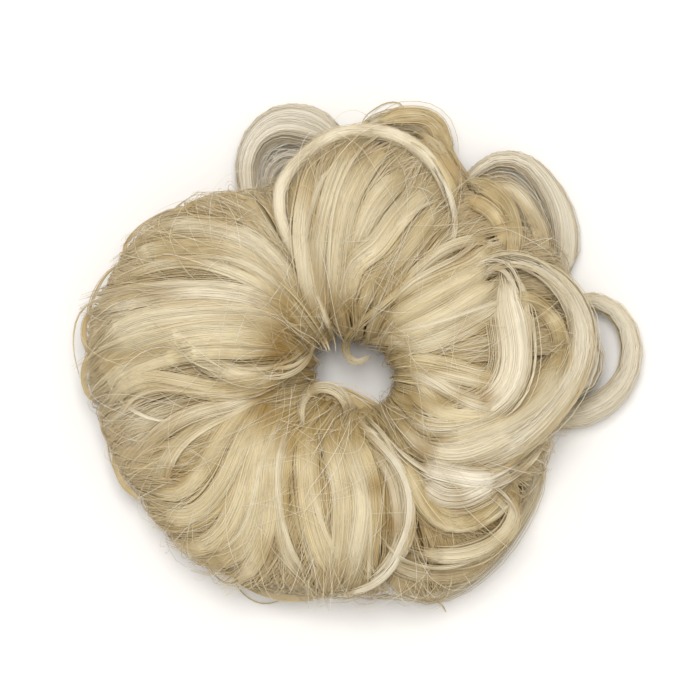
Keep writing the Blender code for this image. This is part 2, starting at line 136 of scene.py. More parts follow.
# One row for each loop that stands out past the ring near the table: its lowest and
# highest point, where it leaves the sewn base and comes back to it, counted in locks
# round the ring, how wide it is there, and its path between them in the same form.
Loop = namedtuple("Loop", "name low high leaves returns root_width path")
LOOPS = [
    Loop("loop_top_left", 0.8, 10.2, 8.4, 6.75, 3.4, [
        (-28.6, 41.5, 4.6), (-29.0, 48.5, 5.0), (-26.4, 54.8, 6.2), (-20.5, 58.5, 8.6),
        (-13.4, 57.8, 9.6),
        (-7.6, 54.2, 6.8)]),
    Loop("loop_top_back", 0.8, 10.2, 6.2, 4.6, 3.2, [
        (-1.0, 53.2, 4.2), (3.8, 57.4, 5.6), (10.0, 58.6, 6.0), (16.0, 57.0, 6.0), (20.0, 51.2, 5.2)]),
    Loop("loop_top_right_outer", 0.8, 10.2, 4.2, 1.9, 2.6, [
        (27.0, 44.6, 2.8), (33.6, 49.3, 3.6), (41.5, 48.0, 4.8), (48.2, 39.5, 6.4), (50.8, 29.5, 7.2),
        (49.0, 21.5, 5.0)]),
    Loop("loop_top_right_inner", 0.8, 10.2, 3.6, 2.5, 2.8, [
        (28.6, 38.4, 4.0), (33.6, 41.4, 5.4), (38.8, 39.0, 6.2), (42.2, 32.4, 6.2), (40.6, 26.4, 4.4)]),
    Loop("loop_right", 0.8, 9.8, 1.1, 25.8, 3.4, [
        (51.0, 12.8, 4.0), (58.2, 13.8, 4.0), (64.6, 10.2, 4.4), (67.5, 2.8, 4.9), (66.2, -5.4, 5.2),
        (60.6, -11.8, 6.2), (52.4, -15.2, 6.2)]),
    Loop("loop_right_inner", 0.8, 10.2, 0.6, 26.5, 3.2, [
        (50.5, 6.4, 4.6), (56.2, 3.6, 5.6), (57.2, -2.6, 6.0), (52.6, -8.0, 5.2)]),
    Loop("loop_low_right", 0.6, 10.2, 25.2, 22.4, 3.4, [
        (39.4, -22.8, 4.4), (43.0, -27.4, 5.4), (41.4, -34.6, 6.0), (36.6, -43.6, 6.0),
        (30.6, -51.0, 6.0),
        (22.6, -57.0, 6.0), (14.0, -58.8, 5.8), (8.2, -54.6, 4.4)]),
    Loop("loop_bottom", 0.6, 10.2, 18.4, 21.6, 3.4, [
        (-29.4, -52.8, 4.4), (-22.6, -56.8, 5.0), (-12.0, -57.8, 5.0), (-2.6, -56.4, 4.4)]),
]

# Thin strips of hair that lie over the rest: how wide, how many strands, how far they
# stand off what is below, the lowest they sink to, their tone from -1 for dark gold to 1
# for pale ash, and a path.
Wisp = namedtuple("Wisp", "width strands off low tone path")
WISPS = [
    Wisp(2.0, 60, 1.2, 13, -0.2, [
        (19.5, 29.0), (14.5, 22.5), (9.5, 16.5), (4.0, 11.6), (-0.5, 7.8), (-3.6, 4.2), (-4.2, 1.4),
        (-2.4, -1.4), (0.6, -1.2), (2.2, 0.6)]),
    Wisp(4.6, 90, 0.8, 17, -0.4, [
        (-14.0, -6.5), (-10.2, -8.6), (-3.4, -10.4), (3.4, -14.2), (7.8, -18.6)]),
    Wisp(2.8, 60, 1.4, 19, 0.2, [
        (-14.6, -17.6), (-15.2, -13.0), (-13.6, -9.4), (-10.0, -7.8), (-6.0, -9.0), (-3.6, -12.8),
        (-4.0, -17.4)]),
    Wisp(2.0, 50, 1.2, 19, -0.1, [(-22.0, 19.0), (-16.5, 13.4), (-12.4, 8.0), (-9.4, 3.4), (-8.4, 1.0)]),
    Wisp(2.2, 50, 0.8, 18, -0.2, [(-22.0, -3.0), (-17.4, -1.8), (-13.6, 1.0), (-11.8, 3.6)]),
    Wisp(1.2, 26, 0.8, 16, 0.3, [(10.2, -3.4), (9.0, -6.2), (7.6, -8.6), (7.0, -12.4), (7.4, -17.0)]),
    Wisp(1.1, 26, 1.0, 0, 0.6, [
        (-55.2, 13.0), (-59.5, 11.0), (-62.6, 7.2), (-64.0, 2.6), (-63.8, -2.4), (-61.8, -8.4),
        (-57.4, -13.2), (-51.4, -15.8), (-46.5, -16.0)]),
    Wisp(0.5, 4, 0.6, 9, -0.2, [
        (-52.0, 11.4), (-62.5, 14.4), (-68.8, 12.8), (-71.8, 8.6), (-72.4, 1.6), (-70.6, -6.2)]),
    Wisp(0.6, 5, 0.6, 0, -0.6, [
        (-0.5, 57.0), (1.6, 60.6), (5.8, 63.4), (9.6, 63.4), (10.4, 60.4), (9.4, 56.8)]),
    Wisp(0.6, 5, 0.4, 0, -0.3, [
        (-33.0, -52.0), (-31.2, -58.4), (-27.6, -61.8), (-23.4, -62.6), (-19.0, -60.8), (-14.0, -57.0)]),
    Wisp(0.7, 4, 0.4, 0, -0.5, [(12.0, -58.0), (16.4, -61.0), (19.6, -62.4), (21.4, -65.2)]),
    Wisp(0.8, 6, 0.5, 9, 0.0, [
        (-60.6, -14.0), (-63.6, -20.6), (-63.0, -27.0), (-59.4, -32.6), (-54.6, -36.0)]),
    Wisp(2.4, 32, 0.6, 12, 0.0, [
        (-60.5, 23.5), (-64.5, 21.0), (-67.5, 16.5), (-69.0, 11.0), (-68.0, 6.5)]),
    Wisp(2.6, 32, 0.6, 12, -0.1, [
        (-62.5, 14.0), (-66.5, 12.5), (-69.5, 9.5), (-70.0, 5.0), (-68.5, 1.0), (-65.5, -1.5)]),
    Wisp(2.4, 32, 0.6, 12, 0.1, [
        (-64.5, 4.0), (-68.0, 1.0), (-69.5, -4.0), (-68.5, -9.0), (-65.5, -12.0)]),
    Wisp(2.2, 32, 0.6, 12, 0.0, [
        (-64.0, -8.5), (-66.0, -13.5), (-65.5, -19.0), (-63.0, -23.5), (-59.5, -26.5)]),
    Wisp(2.4, 32, 0.6, 12, 0.2, [(-61.0, -21.0), (-61.5, -26.5), (-59.5, -32.0), (-55.5, -36.0)]),
    Wisp(2.4, 32, 0.6, 12, 0.0, [(-55.5, -31.0), (-54.0, -37.3), (-50.5, -42.3), (-45.5, -45.5)]),
    Wisp(2.6, 32, 0.6, 12, 0.1, [(-49.0, -41.0), (-45.5, -47.3), (-39.5, -52.3), (-33.0, -54.8)]),
    Wisp(2.4, 32, 0.6, 12, 0.2, [(-35.5, -51.0), (-28.0, -57.3), (-19.3, -60.3), (-10.5, -60.5)]),
    Wisp(2.4, 32, 0.6, 12, 0.0, [
        (-58.0, 21.5), (-58.5, 26.5), (-55.0, 31.0), (-49.3, 34.5), (-43.0, 36.5)]),
    Wisp(2.2, 32, 0.6, 12, -0.3, [(-45.5, 35.3), (-39.3, 39.0), (-32.5, 40.0), (-28.0, 39.0)]),
    Wisp(1.3, 26, 0.9, 0, 0.3, [(9.5, 13.8), (13.4, 19.0), (19.4, 24.0), (26.4, 28.2), (33.4, 27.8)]),
]

# Strips that carry on from the ends of the wide curls and sink them into the locks round
# them, in the same form.
LEADS = [
    Wisp(3.4, 51, 0.5, 0, 0.4, [
        (10.5, 5.0), (17.5, 12.0), (25.5, 18.5), (33.0, 23.2), (40.0, 23.4), (46.5, 20.3), (51.6, 14.8)]),
    Wisp(4.8, 51, 0.5, 0, 0.4, [
        (44.0, -14.8), (36.0, -19.8), (28.0, -23.0), (20.0, -24.0), (13.0, -22.0), (7.0, -18.0)]),
    Wisp(3.2, 51, 0.5, 0, 0.4, [
        (10.5, 8.0), (19.0, 14.8), (28.0, 21.2), (34.2, 22.4), (37.6, 18.0), (38.4, 11.0)]),
    Wisp(4.4, 62, 0.5, 0, 0.4, [
        (36.0, -6.0), (31.5, -12.0), (25.0, -15.2), (18.5, -16.6), (13.0, -15.0), (9.0, -12.0)]),
    Wisp(2.0, 34, 0.5, 19, 0.1, [(-14.0, 19.0), (-11.0, 12.4), (-8.8, 7.0), (-7.4, 3.0), (-7.0, 0.8)]),
    Wisp(2.8, 51, 0.5, 19, 0.1, [(-3.0, -12.0), (0.0, -16.0), (4.6, -20.8), (8.6, -27.0)]),
    Wisp(2.4, 42, 0.5, 0, 0.3, [(9.8, -45.0), (7.8, -51.0), (3.2, -55.8), (-3.0, -58.4), (-9.0, -58.6)]),
    Wisp(1.8, 34, 0.4, 0, 0.4, [(18.6, 45.4), (21.6, 38.4), (22.6, 31.0), (20.8, 24.6)]),
    Wisp(3.0, 59, 0.5, 0, 0.1, [(-33.0, -4.0), (-40.0, -0.8), (-46.6, 4.0), (-54.0, 7.2), (-60.0, 7.6)]),
    Wisp(3.2, 59, 0.5, 0, 0.0, [(-12.6, 4.0), (-14.6, -0.6), (-19.0, -3.8), (-26.0, -5.0)]),
    Wisp(3.4, 51, 0.5, 0, 0.8, [(4.0, -19.0), (9.0, -25.2), (15.0, -29.4), (22.0, -31.8), (29.0, -31.6)]),
    Wisp(3.4, 51, 0.5, 0, 0.7, [
        (26.0, -32.0), (33.0, -30.6), (39.0, -27.4), (43.6, -23.0), (46.4, -17.6)]),
    Wisp(3.2, 51, 0.5, 0, 0.3, [
        (20.0, -28.4), (27.0, -30.6), (33.4, -34.2), (37.0, -38.6), (37.2, -42.0)]),
    Wisp(3.8, 56, 0.5, 0, 0.3, [
        (32.0, -46.6), (25.0, -49.6), (18.0, -50.6), (11.0, -49.0), (5.6, -44.6)]),
]

# Ribbons of hair that lie over the wrapped locks and follow their surface: the part of
# the piece they belong to, their width, tone and path.
Ribbon = namedtuple("Ribbon", "region width tone path")
RIBBONS = [
    Ribbon("crown", 3.2, -0.1, [(-2.5, 7.5), (0.5, 13.0), (3.0, 19.5), (7.5, 26.0), (12.5, 32.0)]),
    Ribbon("crown", 5.3, 0.0, [
        (-11.0, 7.8), (-13.0, 16.5), (-14.8, 30.2), (-13.2, 41.5), (-10.8, 48.2), (-7.8, 52.0)]),
    Ribbon("crown", 6.6, 0.1, [
        (-9.5, 7.0), (-10.2, 17.8), (-9.8, 29.0), (-6.8, 41.5), (-3.0, 50.2), (2.0, 54.8)]),
    Ribbon("crown", 6.1, 0.1, [
        (-7.2, 7.8), (-5.8, 25.2), (-3.8, 36.5), (0.0, 44.8), (5.0, 50.2), (10.0, 52.5)]),
    Ribbon("crown", 6.6, 0.2, [
        (-6.2, 7.8), (-5.0, 19.0), (-1.8, 27.8), (2.5, 36.5), (8.2, 43.5), (13.8, 47.0)]),
    Ribbon("crown", 6.9, 0.0, [
        (-5.0, 7.8), (-2.8, 21.0), (3.8, 27.2), (8.8, 34.0), (14.5, 39.8), (19.0, 42.0)]),
    Ribbon("crown", 4.5, -0.2, [
        (-3.8, 9.5), (-0.5, 18.0), (6.0, 22.0), (12.5, 29.0), (17.0, 35.2), (20.0, 40.0)]),
    Ribbon("crown", 3.2, -0.3, [
        (7.5, 59.5), (14.0, 59.5), (18.5, 56.5), (21.0, 51.5), (23.5, 46.0), (26.5, 41.5)]),
    Ribbon("crown", 1.8, -0.2, [(10.0, 54.0), (15.5, 52.0), (19.5, 47.5), (22.5, 41.5), (23.5, 36.0)]),
    Ribbon("left", 4.8, 0.3, [
        (-11.5, 7.0), (-16.8, 16.5), (-21.8, 23.5), (-28.0, 28.8), (-35.5, 31.5), (-43.0, 32.5),
        (-50.5, 31.2), (-56.0, 27.5)]),
    Ribbon("left", 5.5, 0.2, [
        (-12.8, 8.5), (-20.0, 18.0), (-26.8, 23.2), (-35.5, 26.5), (-44.2, 26.8), (-52.5, 26.0),
        (-59.0, 23.2)]),
    Ribbon("left", 3.7, -0.2, [
        (-15.5, 9.5), (-24.0, 16.5), (-33.0, 21.0), (-41.8, 23.2), (-50.5, 22.5), (-58.0, 20.0)]),
    Ribbon("left", 6.1, 0.1, [
        (-15.5, 7.5), (-25.5, 13.8), (-34.2, 15.8), (-43.0, 16.0), (-52.5, 15.0), (-61.2, 13.5),
        (-67.0, 11.8)]),
    Ribbon("left", 8.2, 0.15, [
        (-14.5, 5.0), (-23.0, 9.5), (-33.0, 10.5), (-43.0, 10.0), (-52.5, 8.5), (-59.5, 5.8),
        (-64.5, 1.8)]),
    Ribbon("left", 8.2, 0.0, [
        (-15.5, 3.0), (-25.5, 5.5), (-35.5, 6.2), (-45.0, 5.0), (-53.5, 2.8), (-61.0, -0.5),
        (-66.0, -4.5)]),
    Ribbon("left", 6.6, -0.1, [
        (-16.0, 1.0), (-28.0, 1.8), (-39.2, 2.0), (-49.2, 0.2), (-58.0, -3.0), (-64.0, -7.5)]),
    Ribbon("left", 5.3, -0.2, [
        (-15.5, -2.5), (-25.0, -7.0), (-35.0, -8.5), (-45.0, -6.8), (-52.5, -5.8), (-59.0, -8.0),
        (-62.5, -12.0)]),
    Ribbon("left", 4.0, 0.0, [
        (-18.0, -6.0), (-32.5, -11.5), (-41.8, -14.2), (-48.5, -17.8), (-53.0, -22.0), (-55.5, -27.0)]),
    Ribbon("left", 3.4, -0.1, [
        (-19.0, -7.5), (-34.0, -15.0), (-41.5, -18.5), (-46.5, -22.8), (-49.5, -27.8), (-50.5, -32.5)]),
    Ribbon("bottom", 5.3, 0.0, [
        (-25.0, -8.0), (-32.5, -17.5), (-37.5, -24.8), (-41.5, -30.5), (-46.5, -33.8), (-52.5, -33.0)]),
    Ribbon("bottom", 6.6, 0.1, [
        (-23.0, -8.5), (-29.0, -21.0), (-33.0, -30.2), (-37.8, -36.8), (-43.5, -40.2), (-50.5, -39.2)]),
    Ribbon("bottom", 6.6, 0.3, [
        (-21.5, -9.5), (-27.0, -24.0), (-30.0, -34.8), (-34.0, -43.0), (-39.5, -47.2), (-46.0, -46.0)]),
    Ribbon("bottom", 6.6, 0.4, [
        (-19.5, -10.5), (-24.5, -23.5), (-26.2, -36.5), (-29.0, -45.5), (-34.0, -50.2),
        (-40.5, -50.5)]),
    Ribbon("bottom", 5.5, 0.2, [
        (-18.0, -11.5), (-22.0, -23.5), (-22.8, -38.5), (-24.8, -47.2), (-28.0, -53.0),
        (-33.0, -56.5)]),
    Ribbon("bottom", 3.4, 0.4, [
        (-16.5, -13.0), (-20.8, -27.2), (-20.5, -39.8), (-18.8, -49.0), (-14.8, -55.5)]),
    Ribbon("bottom", 2.6, -0.3, [
        (-15.0, -14.0), (-17.8, -22.2), (-19.0, -31.0), (-19.5, -39.8), (-18.5, -48.0)]),
    Ribbon("bottom", 6.6, 0.3, [
        (-12.5, -14.0), (-13.8, -24.0), (-13.0, -36.5), (-10.5, -46.5), (-7.2, -54.5)]),
    Ribbon("bottom", 5.5, 0.2, [
        (-10.0, -14.0), (-7.0, -24.0), (-5.0, -34.8), (-5.2, -46.0), (-6.8, -56.0)]),
    Ribbon("bottom", 6.1, 0.3, [
        (-7.5, -13.5), (-3.0, -25.5), (-0.2, -34.8), (-1.0, -44.8), (-3.8, -56.0)]),
    Ribbon("bottom", 4.5, 0.1, [(-5.0, -14.0), (0.8, -24.8), (3.0, -33.5), (3.0, -43.5), (1.0, -54.0)]),
    Ribbon("bottom", 2.4, 0.5, [
        (-3.0, -15.5), (5.0, -22.2), (10.0, -28.5), (12.2, -36.0), (11.2, -44.8), (7.0, -53.0)]),
    Ribbon("right", 6.6, 0.1, [(3.5, 5.5), (10.8, 10.5), (18.2, 14.8), (25.8, 19.0), (33.0, 23.5)]),
    Ribbon("right", 6.1, 0.0, [(4.0, 4.0), (11.5, 6.5), (19.5, 10.2), (27.0, 14.8), (34.5, 19.5)]),
    Ribbon("right", 6.1, 0.1, [(5.5, 2.0), (13.2, 3.2), (22.0, 6.2), (30.0, 10.5), (36.5, 15.0)]),
    Ribbon("right", 3.4, 0.0, [
        (4.5, 11.0), (12.5, 17.5), (19.5, 20.8), (26.0, 23.5), (30.5, 26.8), (33.5, 29.0)]),
    Ribbon("right", 5.3, -0.2, [(5.5, -0.5), (13.2, -1.2), (22.0, -2.8), (30.0, -5.2), (37.0, -8.0)]),
    Ribbon("right", 4.2, 0.2, [(8.5, -3.0), (16.5, -6.2), (23.8, -10.0), (30.5, -12.0), (37.5, -11.5)]),
    Ribbon("right", 4.2, -0.1, [
        (10.0, -7.0), (15.8, -11.8), (21.5, -14.5), (29.0, -15.0), (36.0, -13.5)]),
    Ribbon("right", 5.3, 0.1, [
        (8.5, -11.0), (15.8, -17.0), (25.0, -17.0), (33.5, -13.8), (39.5, -8.5), (43.0, -2.5)]),
    Ribbon("right", 5.5, 0.2, [
        (7.5, -14.0), (14.5, -22.0), (23.2, -24.2), (32.5, -21.2), (40.5, -16.0)]),
    Ribbon("right", 4.5, -0.3, [
        (9.0, -21.0), (13.5, -33.5), (19.5, -41.0), (27.0, -41.0), (33.5, -36.0), (36.5, -31.5)]),
    Ribbon("right", 4.0, -0.4, [
        (14.5, -28.5), (17.5, -36.0), (23.5, -39.0), (30.5, -36.0), (34.5, -31.5)]),
    Ribbon("right", 4.0, -0.3, [(34.5, 14.0), (41.5, 14.0), (47.5, 9.0), (49.5, 1.5), (47.5, -7.2)]),
    Ribbon("sweep", 8.6, 0.2, [
        (35.5, 20.5), (35.8, 14.0), (37.2, 6.5), (37.8, 0.2), (36.6, -6.0), (33.0, -10.8),
        (27.0, -14.2), (19.5, -16.2)]),
    Ribbon("sweep", 2.8, 0.4, [
        (33.5, 18.5), (32.8, 12.5), (33.6, 5.0), (34.0, -1.5), (32.2, -7.0), (28.6, -11.0),
        (22.0, -14.0)]),
    Ribbon("sweep", 5.3, 0.3, [
        (49.5, 18.0), (52.5, 13.0), (54.5, 7.0), (54.5, 1.0), (52.0, -6.0), (47.0, -12.8),
        (40.5, -19.0), (33.0, -23.5), (25.0, -26.0), (15.8, -26.0)]),
    Ribbon("sweep", 3.7, 0.2, [
        (56.2, 2.8), (55.0, -3.5), (51.0, -10.5), (45.5, -17.2), (38.0, -24.0), (31.0, -28.0),
        (23.5, -30.0)]),
    Ribbon("sweep", 5.8, 0.05, [
        (48.5, 4.0), (47.5, -1.5), (44.0, -7.5), (37.5, -12.5), (30.5, -16.0), (22.0, -18.5),
        (12.5, -18.5)]),
    Ribbon("sweep", 5.1, 0.1, [
        (51.0, 1.0), (48.5, -6.0), (43.5, -11.5), (36.5, -16.5), (28.0, -20.0), (19.5, -22.0),
        (12.0, -22.5)]),
    Ribbon("sweep", 5.1, 0.5, [
        (12.5, -26.5), (17.5, -28.0), (23.5, -29.5), (29.5, -30.2), (35.0, -29.5)]),
    Ribbon("sweep", 5.5, 0.4, [
        (13.5, -29.5), (16.5, -33.0), (20.5, -35.0), (25.0, -35.0), (29.5, -33.0), (33.8, -30.5)]),
    Ribbon("sweep", 3.9, 0.1, [
        (35.0, -33.5), (37.5, -36.8), (37.2, -41.0), (34.5, -44.8), (29.5, -47.8), (23.5, -49.2),
        (17.0, -49.0), (11.5, -47.2)]),
    Ribbon("sweep", 4.1, 0.0, [
        (33.8, -48.0), (29.0, -51.8), (23.2, -54.0), (17.0, -54.2), (10.5, -52.5), (5.5, -50.0)]),
    Ribbon("sweep", 2.3, 0.3, [
        (0.8, -21.0), (4.5, -26.0), (7.0, -31.0), (8.2, -36.5), (8.5, -42.8), (7.5, -48.0)]),
    Ribbon("sweep", 3.0, -0.3, [(13.2, -5.2), (16.0, -9.0), (20.0, -12.2), (25.0, -14.2)]),
    Ribbon("sweep", 3.4, -0.2, [(13.5, -2.5), (18.5, -4.0), (24.5, -5.5), (31.0, -7.0), (34.5, -8.2)]),
    Ribbon("upper", 5.3, 0.0, [
        (0.0, 4.0), (7.5, 4.5), (16.2, 4.5), (24.5, 7.0), (32.0, 12.0), (34.5, 16.0)]),
    Ribbon("upper", 3.2, 0.1, [(9.0, 16.5), (14.5, 22.0), (20.2, 26.2), (27.0, 28.5), (33.2, 28.2)]),
    Ribbon("upper", 4.0, -0.1, [(9.5, 16.0), (16.5, 20.5), (24.0, 22.5), (30.5, 24.5), (33.8, 27.5)]),
    Ribbon("upper", 4.5, -0.3, [
        (25.0, 43.5), (30.5, 42.5), (35.0, 39.0), (37.2, 33.5), (37.5, 27.0), (36.0, 23.0)]),
    Ribbon("upper", 4.0, -0.25, [(24.5, 39.0), (29.0, 38.0), (33.0, 35.0), (35.0, 30.5), (34.5, 26.0)]),
    Ribbon("upper", 4.8, 0.3, [
        (27.0, 46.5), (33.5, 44.5), (39.5, 40.0), (43.0, 34.5), (45.0, 28.5), (45.5, 23.5)]),
    Ribbon("upper", 4.8, -0.25, [
        (4.0, 58.5), (9.5, 60.2), (15.5, 60.2), (19.0, 58.0), (20.5, 53.5), (22.0, 49.0)]),
    Ribbon("upper", 4.0, -0.25, [(14.5, 56.5), (18.0, 52.5), (21.0, 47.5), (24.0, 43.0), (26.5, 39.0)]),
]

# Net-like hair inside the loops: the loop, how many strands, and how far in they reach
# towards the base, as shares of the way.
Veil = namedtuple("Veil", "loop strands nearest furthest")
VEILS = [
    Veil("loop_top_left", 165, 0.10, 0.62),
    Veil("loop_top_back", 105, 0.10, 0.85),
    Veil("loop_top_right_outer", 60, 0.05, 0.25),
    Veil("loop_top_right_inner", 105, 0.15, 0.80),
    Veil("loop_right_inner", 90, 0.10, 0.60),
    Veil("loop_low_right", 120, 0.10, 0.60),
    Veil("loop_bottom", 105, 0.10, 0.80),
]

# How the strands of the wrapped locks stray from their seams: round the ring, counted in
# locks, how far they have leaned at the outside and how far they bow half way.
Flow = namedtuple("Flow", "lock lean bow")
FLOWS = [
    Flow(0.0, -0.2, 0.1), Flow(4.0, -0.8, 0.2), Flow(6.0, -1.2, 0.2), Flow(7.6, -0.4, 0.0),
    Flow(9.0, 0.8, -0.40), Flow(12.0, 1.3, -0.25), Flow(14.0, 0.9, 0.2), Flow(15.2, -0.2, 0.35),
    Flow(16.5, -1.2, 0.45), Flow(19.0, -1.0, 0.4), Flow(21.0, -0.4, 0.45), Flow(23.0, 0.6, 0.2),
    Flow(25.0, 0.7, 0.0),
]

# Places where painted shade, in deep gold, lies on the lower hair in the gaps between the
# locks, how far each reaches, and how deep it is.
ShadePocket = namedtuple("ShadePocket", "x y reach depth")
SHADE_POCKETS = [
    ShadePocket(-49.0, 17.0, 6.0, 0.35), ShadePocket(-20.0, 2.0, 7.5, 0.95), ShadePocket(-50.0, -7.0, 6.0, 0.4),
    ShadePocket(-46.0, -30.0, 5.0, 0.8), ShadePocket(-60.0, -18.0, 4.5, 0.5), ShadePocket(-17.5, -22.0, 3.5, 0.7),
    ShadePocket(-17.5, -30.0, 3.5, 0.7), ShadePocket(-22.0, -47.0, 4.5, 0.5), ShadePocket(-24.0, -12.5, 5.0, 0.7),
    ShadePocket(30.5, -10.5, 4.0, 0.8), ShadePocket(12.0, -11.0, 4.0, 0.6), ShadePocket(15.5, -23.0, 4.0, 0.7),
    ShadePocket(25.0, 25.0, 5.5, 0.4), ShadePocket(3.2, -32.0, 4.0, 0.95), ShadePocket(7.0, -42.0, 4.0, 0.85),
    ShadePocket(16.0, -43.5, 7.0, 0.5), ShadePocket(39.5, -36.0, 4.5, 0.6), ShadePocket(2.5, -49.0, 3.5, 0.5),
    ShadePocket(23.0, 47.0, 5.0, 0.6), ShadePocket(15.0, 56.0, 5.0, 0.4), ShadePocket(29.5, 36.5, 5.0, 0.5),
    ShadePocket(-3.0, 10.0, 6.0, 0.5),
]

# Colours of the hair, in linear light
GOLD = np.array([0.685, 0.555, 0.29])
PALE = np.array([0.745, 0.655, 0.45])
ASH = np.array([0.87, 0.82, 0.70])
# Painted shade: the deep gold that stands in for shade at the roots, between clumps and under other hair
PAINTED_SHADE_GOLD = np.array([0.42, 0.285, 0.09])
# Painted shade: a darker gold for the shade in the gaps between the locks
POCKET_SHADE_GOLD = np.array([0.33, 0.195, 0.045])

# Single strands: their radius, how low they may lie, and how far they share in the facing
# of what they lie on
STRAND_RADIUS = 0.09
LOWEST_STRAND = 0.25
FACING_SHARE = 0.45
UPWARD = np.array([0.0, 0.0, 1.0])

# How many strands locks, curls and loops have, and the rings of points along each strand
LOCK_STRANDS = 98
LOCK_RINGS = 14
CURL_STRANDS = 115
CURL_RINGS = 16
LOOP_STRANDS = 100
WISP_RINGS = 14
FRIZZ_RINGS = 10

# Clumps: how wide one is on a lock, how many a curl and a loop have, and how many strands
# of a wisp share one
CLUMP_WIDTH = 3.6
CURL_CLUMPS = 5
LOOP_CLUMPS = 6
WISP_CLUMP = 22

# The closed forms inside locks: rows and outer sides, how many degrees they end before the
# tip, their half width as a share of the lock's and how much less it is at the tip, over
# how many degrees the taper and the painted shade of the roots run, and how dark they are
# painted, as shade under the strands, in all and at the grooves. GROOVE_FILL is how far hair on the locks
# evens out the grooves.
LOCK_CORE_ROWS = 24
LOCK_CORE_SIDES = 9
LOCK_CORE_SHORT = 12
LOCK_CORE_HALF = 0.47
LOCK_CORE_TAPER = 0.26
LOCK_TAPER_TURN = 30
LOCK_ROOT_TURN = 45
LOCK_ROOT_SHADE = 0.65
LOCK_CORE_SHADE = 0.95
GROOVE_SHADE = 0.74
GROOVE_EDGE_SHADE = 0.90
GROOVE_FILL = 0.6

# The strands on a lock: their half width as a share of the lock's, how many degrees past
# its end the longest reach and how much shorter others are, where the ends tuck in, bend
# and turn paler with painted light, as if lit from the white floor, each from a number of
# degrees over a number of degrees, how far a clump rises in its middle, and the share of strands that stand
# off
LOCK_HALF = 0.49
LOCK_OVERRUN = 12
LOCK_END_RANGE = 26
TUCK_START = 40
TUCK_TURN = 48
TUCK_SHARE = 0.35
BEND_START = 95
BEND_TURN = 90
OUTSIDE_START = 80
OUTSIDE_TURN = 60
OUTSIDE_PAINTED_LIGHT = 0.35
CLUMP_DOME = 0.35
LOOSE_SHARE = 0.04

# The share of strands that stand off a curl, a loop or a ribbon, and how much all strands
# differ in brightness
BUNDLE_LOOSE_SHARE = 0.06
TINT_SCATTER = 0.045

# The closed forms inside curls and loops: rows, sides, the share of the section that they
# fill, the rows left off at a curl's ends, and how dark they are painted, as shade under the strands
BUNDLE_ROWS = 60
BUNDLE_SIDES = 12
CORE_SHARE = 0.90
LOOP_CORE_SHARE = 0.88
CURL_CUT = 7
BUNDLE_SHADE = 0.92

# Paths: points between two places of a table and along the whole, and how much the height
# of a wisp may change from one point to the next
PATH_STEPS = 24
PATH_POINTS = 48
STEEPEST_STEP = 1.6

# Ribbons: rings along them, points across, strands to a millimetre of width, how far the
# ends dip, the steepest step, how far the edges hang, how thick their closed forms may be
# and how dark these are painted, as shade under the strands. A splinter is a narrow one that crosses
# another.
RIBBON_RINGS = 13
RIBBON_LANES = 7
RIBBON_DENSITY = 10.5
RIBBON_DIP = 1.4
RIBBON_STEP = 0.8
RIBBON_SAG = 2.5
RIBBON_THICKEST = 1.6
RIBBON_SHADE = 0.97
SPLINTER_PLACES = 7
SPLINTER_RISE = 0.9

# Wound strands and single hairs: how many of each kind, and the lowest height that frizz grows from
WALL_STRANDS = 300
RIM_WRAPS = 140
OUTLINE_ARCS = 220
CROSSING_HAIRS = 180
FRIZZ_HAIRS = 360
OUTLINE_HAIRS = 300
RIM_HAIRS = 80
FRIZZ_LOWEST = 9.0

# Painted shade, in deep gold, on hair with other hair over it: the step and reach of the grid,
# how far below the top it starts and is full, how strong it is there, far below and on curls
# and loops, and how strong the painted shade of the pockets is
COVER_STEP = 0.5
COVER_REACH = 3
SHALLOW = 0.5
DEEPEST = 2.6
COVERED_SHARE = 0.56
BURIED_SHARE = 0.36
BUNDLE_COVERED = 0.35
POCKET_SHADE_SHARE = 0.85

# The grid of the solids' tops: its step, how often it is grown and blurred, and its places;
# and the heights where rays down or up to the solids start
MAP_STEP = 0.75
MAP_DILATION = 1
MAP_BLURS = 4
MAP_X = np.arange(-80.0, 80.0, MAP_STEP)
MAP_Y = np.arange(-75.0, 75.0, MAP_STEP)
ABOVE_ALL = 100
BELOW_ALL = -10
DOWN = Vector((0, 0, -1))

# The part of the strand map's width that the closed forms take
CORE_COLUMN = 0.12


# Vectors, a row for each

def unit(vectors):
    return vectors / np.maximum(np.linalg.norm(vectors, axis=-1, keepdims=True), 1e-9)


def mixed(low, high, share):
    return low + (high - low) * share


def eased(value):
    """Rises smoothly from 0 to 1 as the value does."""
    value = np.clip(value, 0.0, 1.0)
    return value * value * (3 - 2 * value)


def arch(share):
    """Rises from 0 to 1 half way along, and falls back to 0."""
    return np.sin(math.pi * share)


def at_height(plan, height):
    """Points over places of a plan, each at its height."""
    return np.concatenate([plan, height[..., None]], axis=-1)


def sampled(values, along):
    """Values, or rows of them, at shares of the way along."""
    where = along * (len(values) - 1)
    first = np.floor(where).astype(int).clip(0, len(values) - 2)
    rest = where - first
    return mixed(values[first], values[first + 1], rest if values.ndim == 1 else rest[..., None])


def grown(grid, times):
    """A grid of heights after each cell has taken the highest beside it, some times."""
    for _ in range(times):
        grid = np.max([np.roll(grid, step, axis) for axis in (0, 1) for step in (-1, 0, 1)], axis=0)
    return grid


def blurred(grid, times):
    for _ in range(times):
        for axis in (0, 1):
            grid = (np.roll(grid, 1, axis) + 2 * grid + np.roll(grid, -1, axis)) / 4
    return grid


# Random numbers, a row for each strand

def between(low, high, count):
    return RANDOM.uniform(low, high, (count, 1))


def scatter(deviation, count):
    return RANDOM.normal(0, deviation, (count, 1))


def stray(mean, count):
    """Mostly small, and now and then far from 0."""
    return RANDOM.exponential(mean, (count, 1))


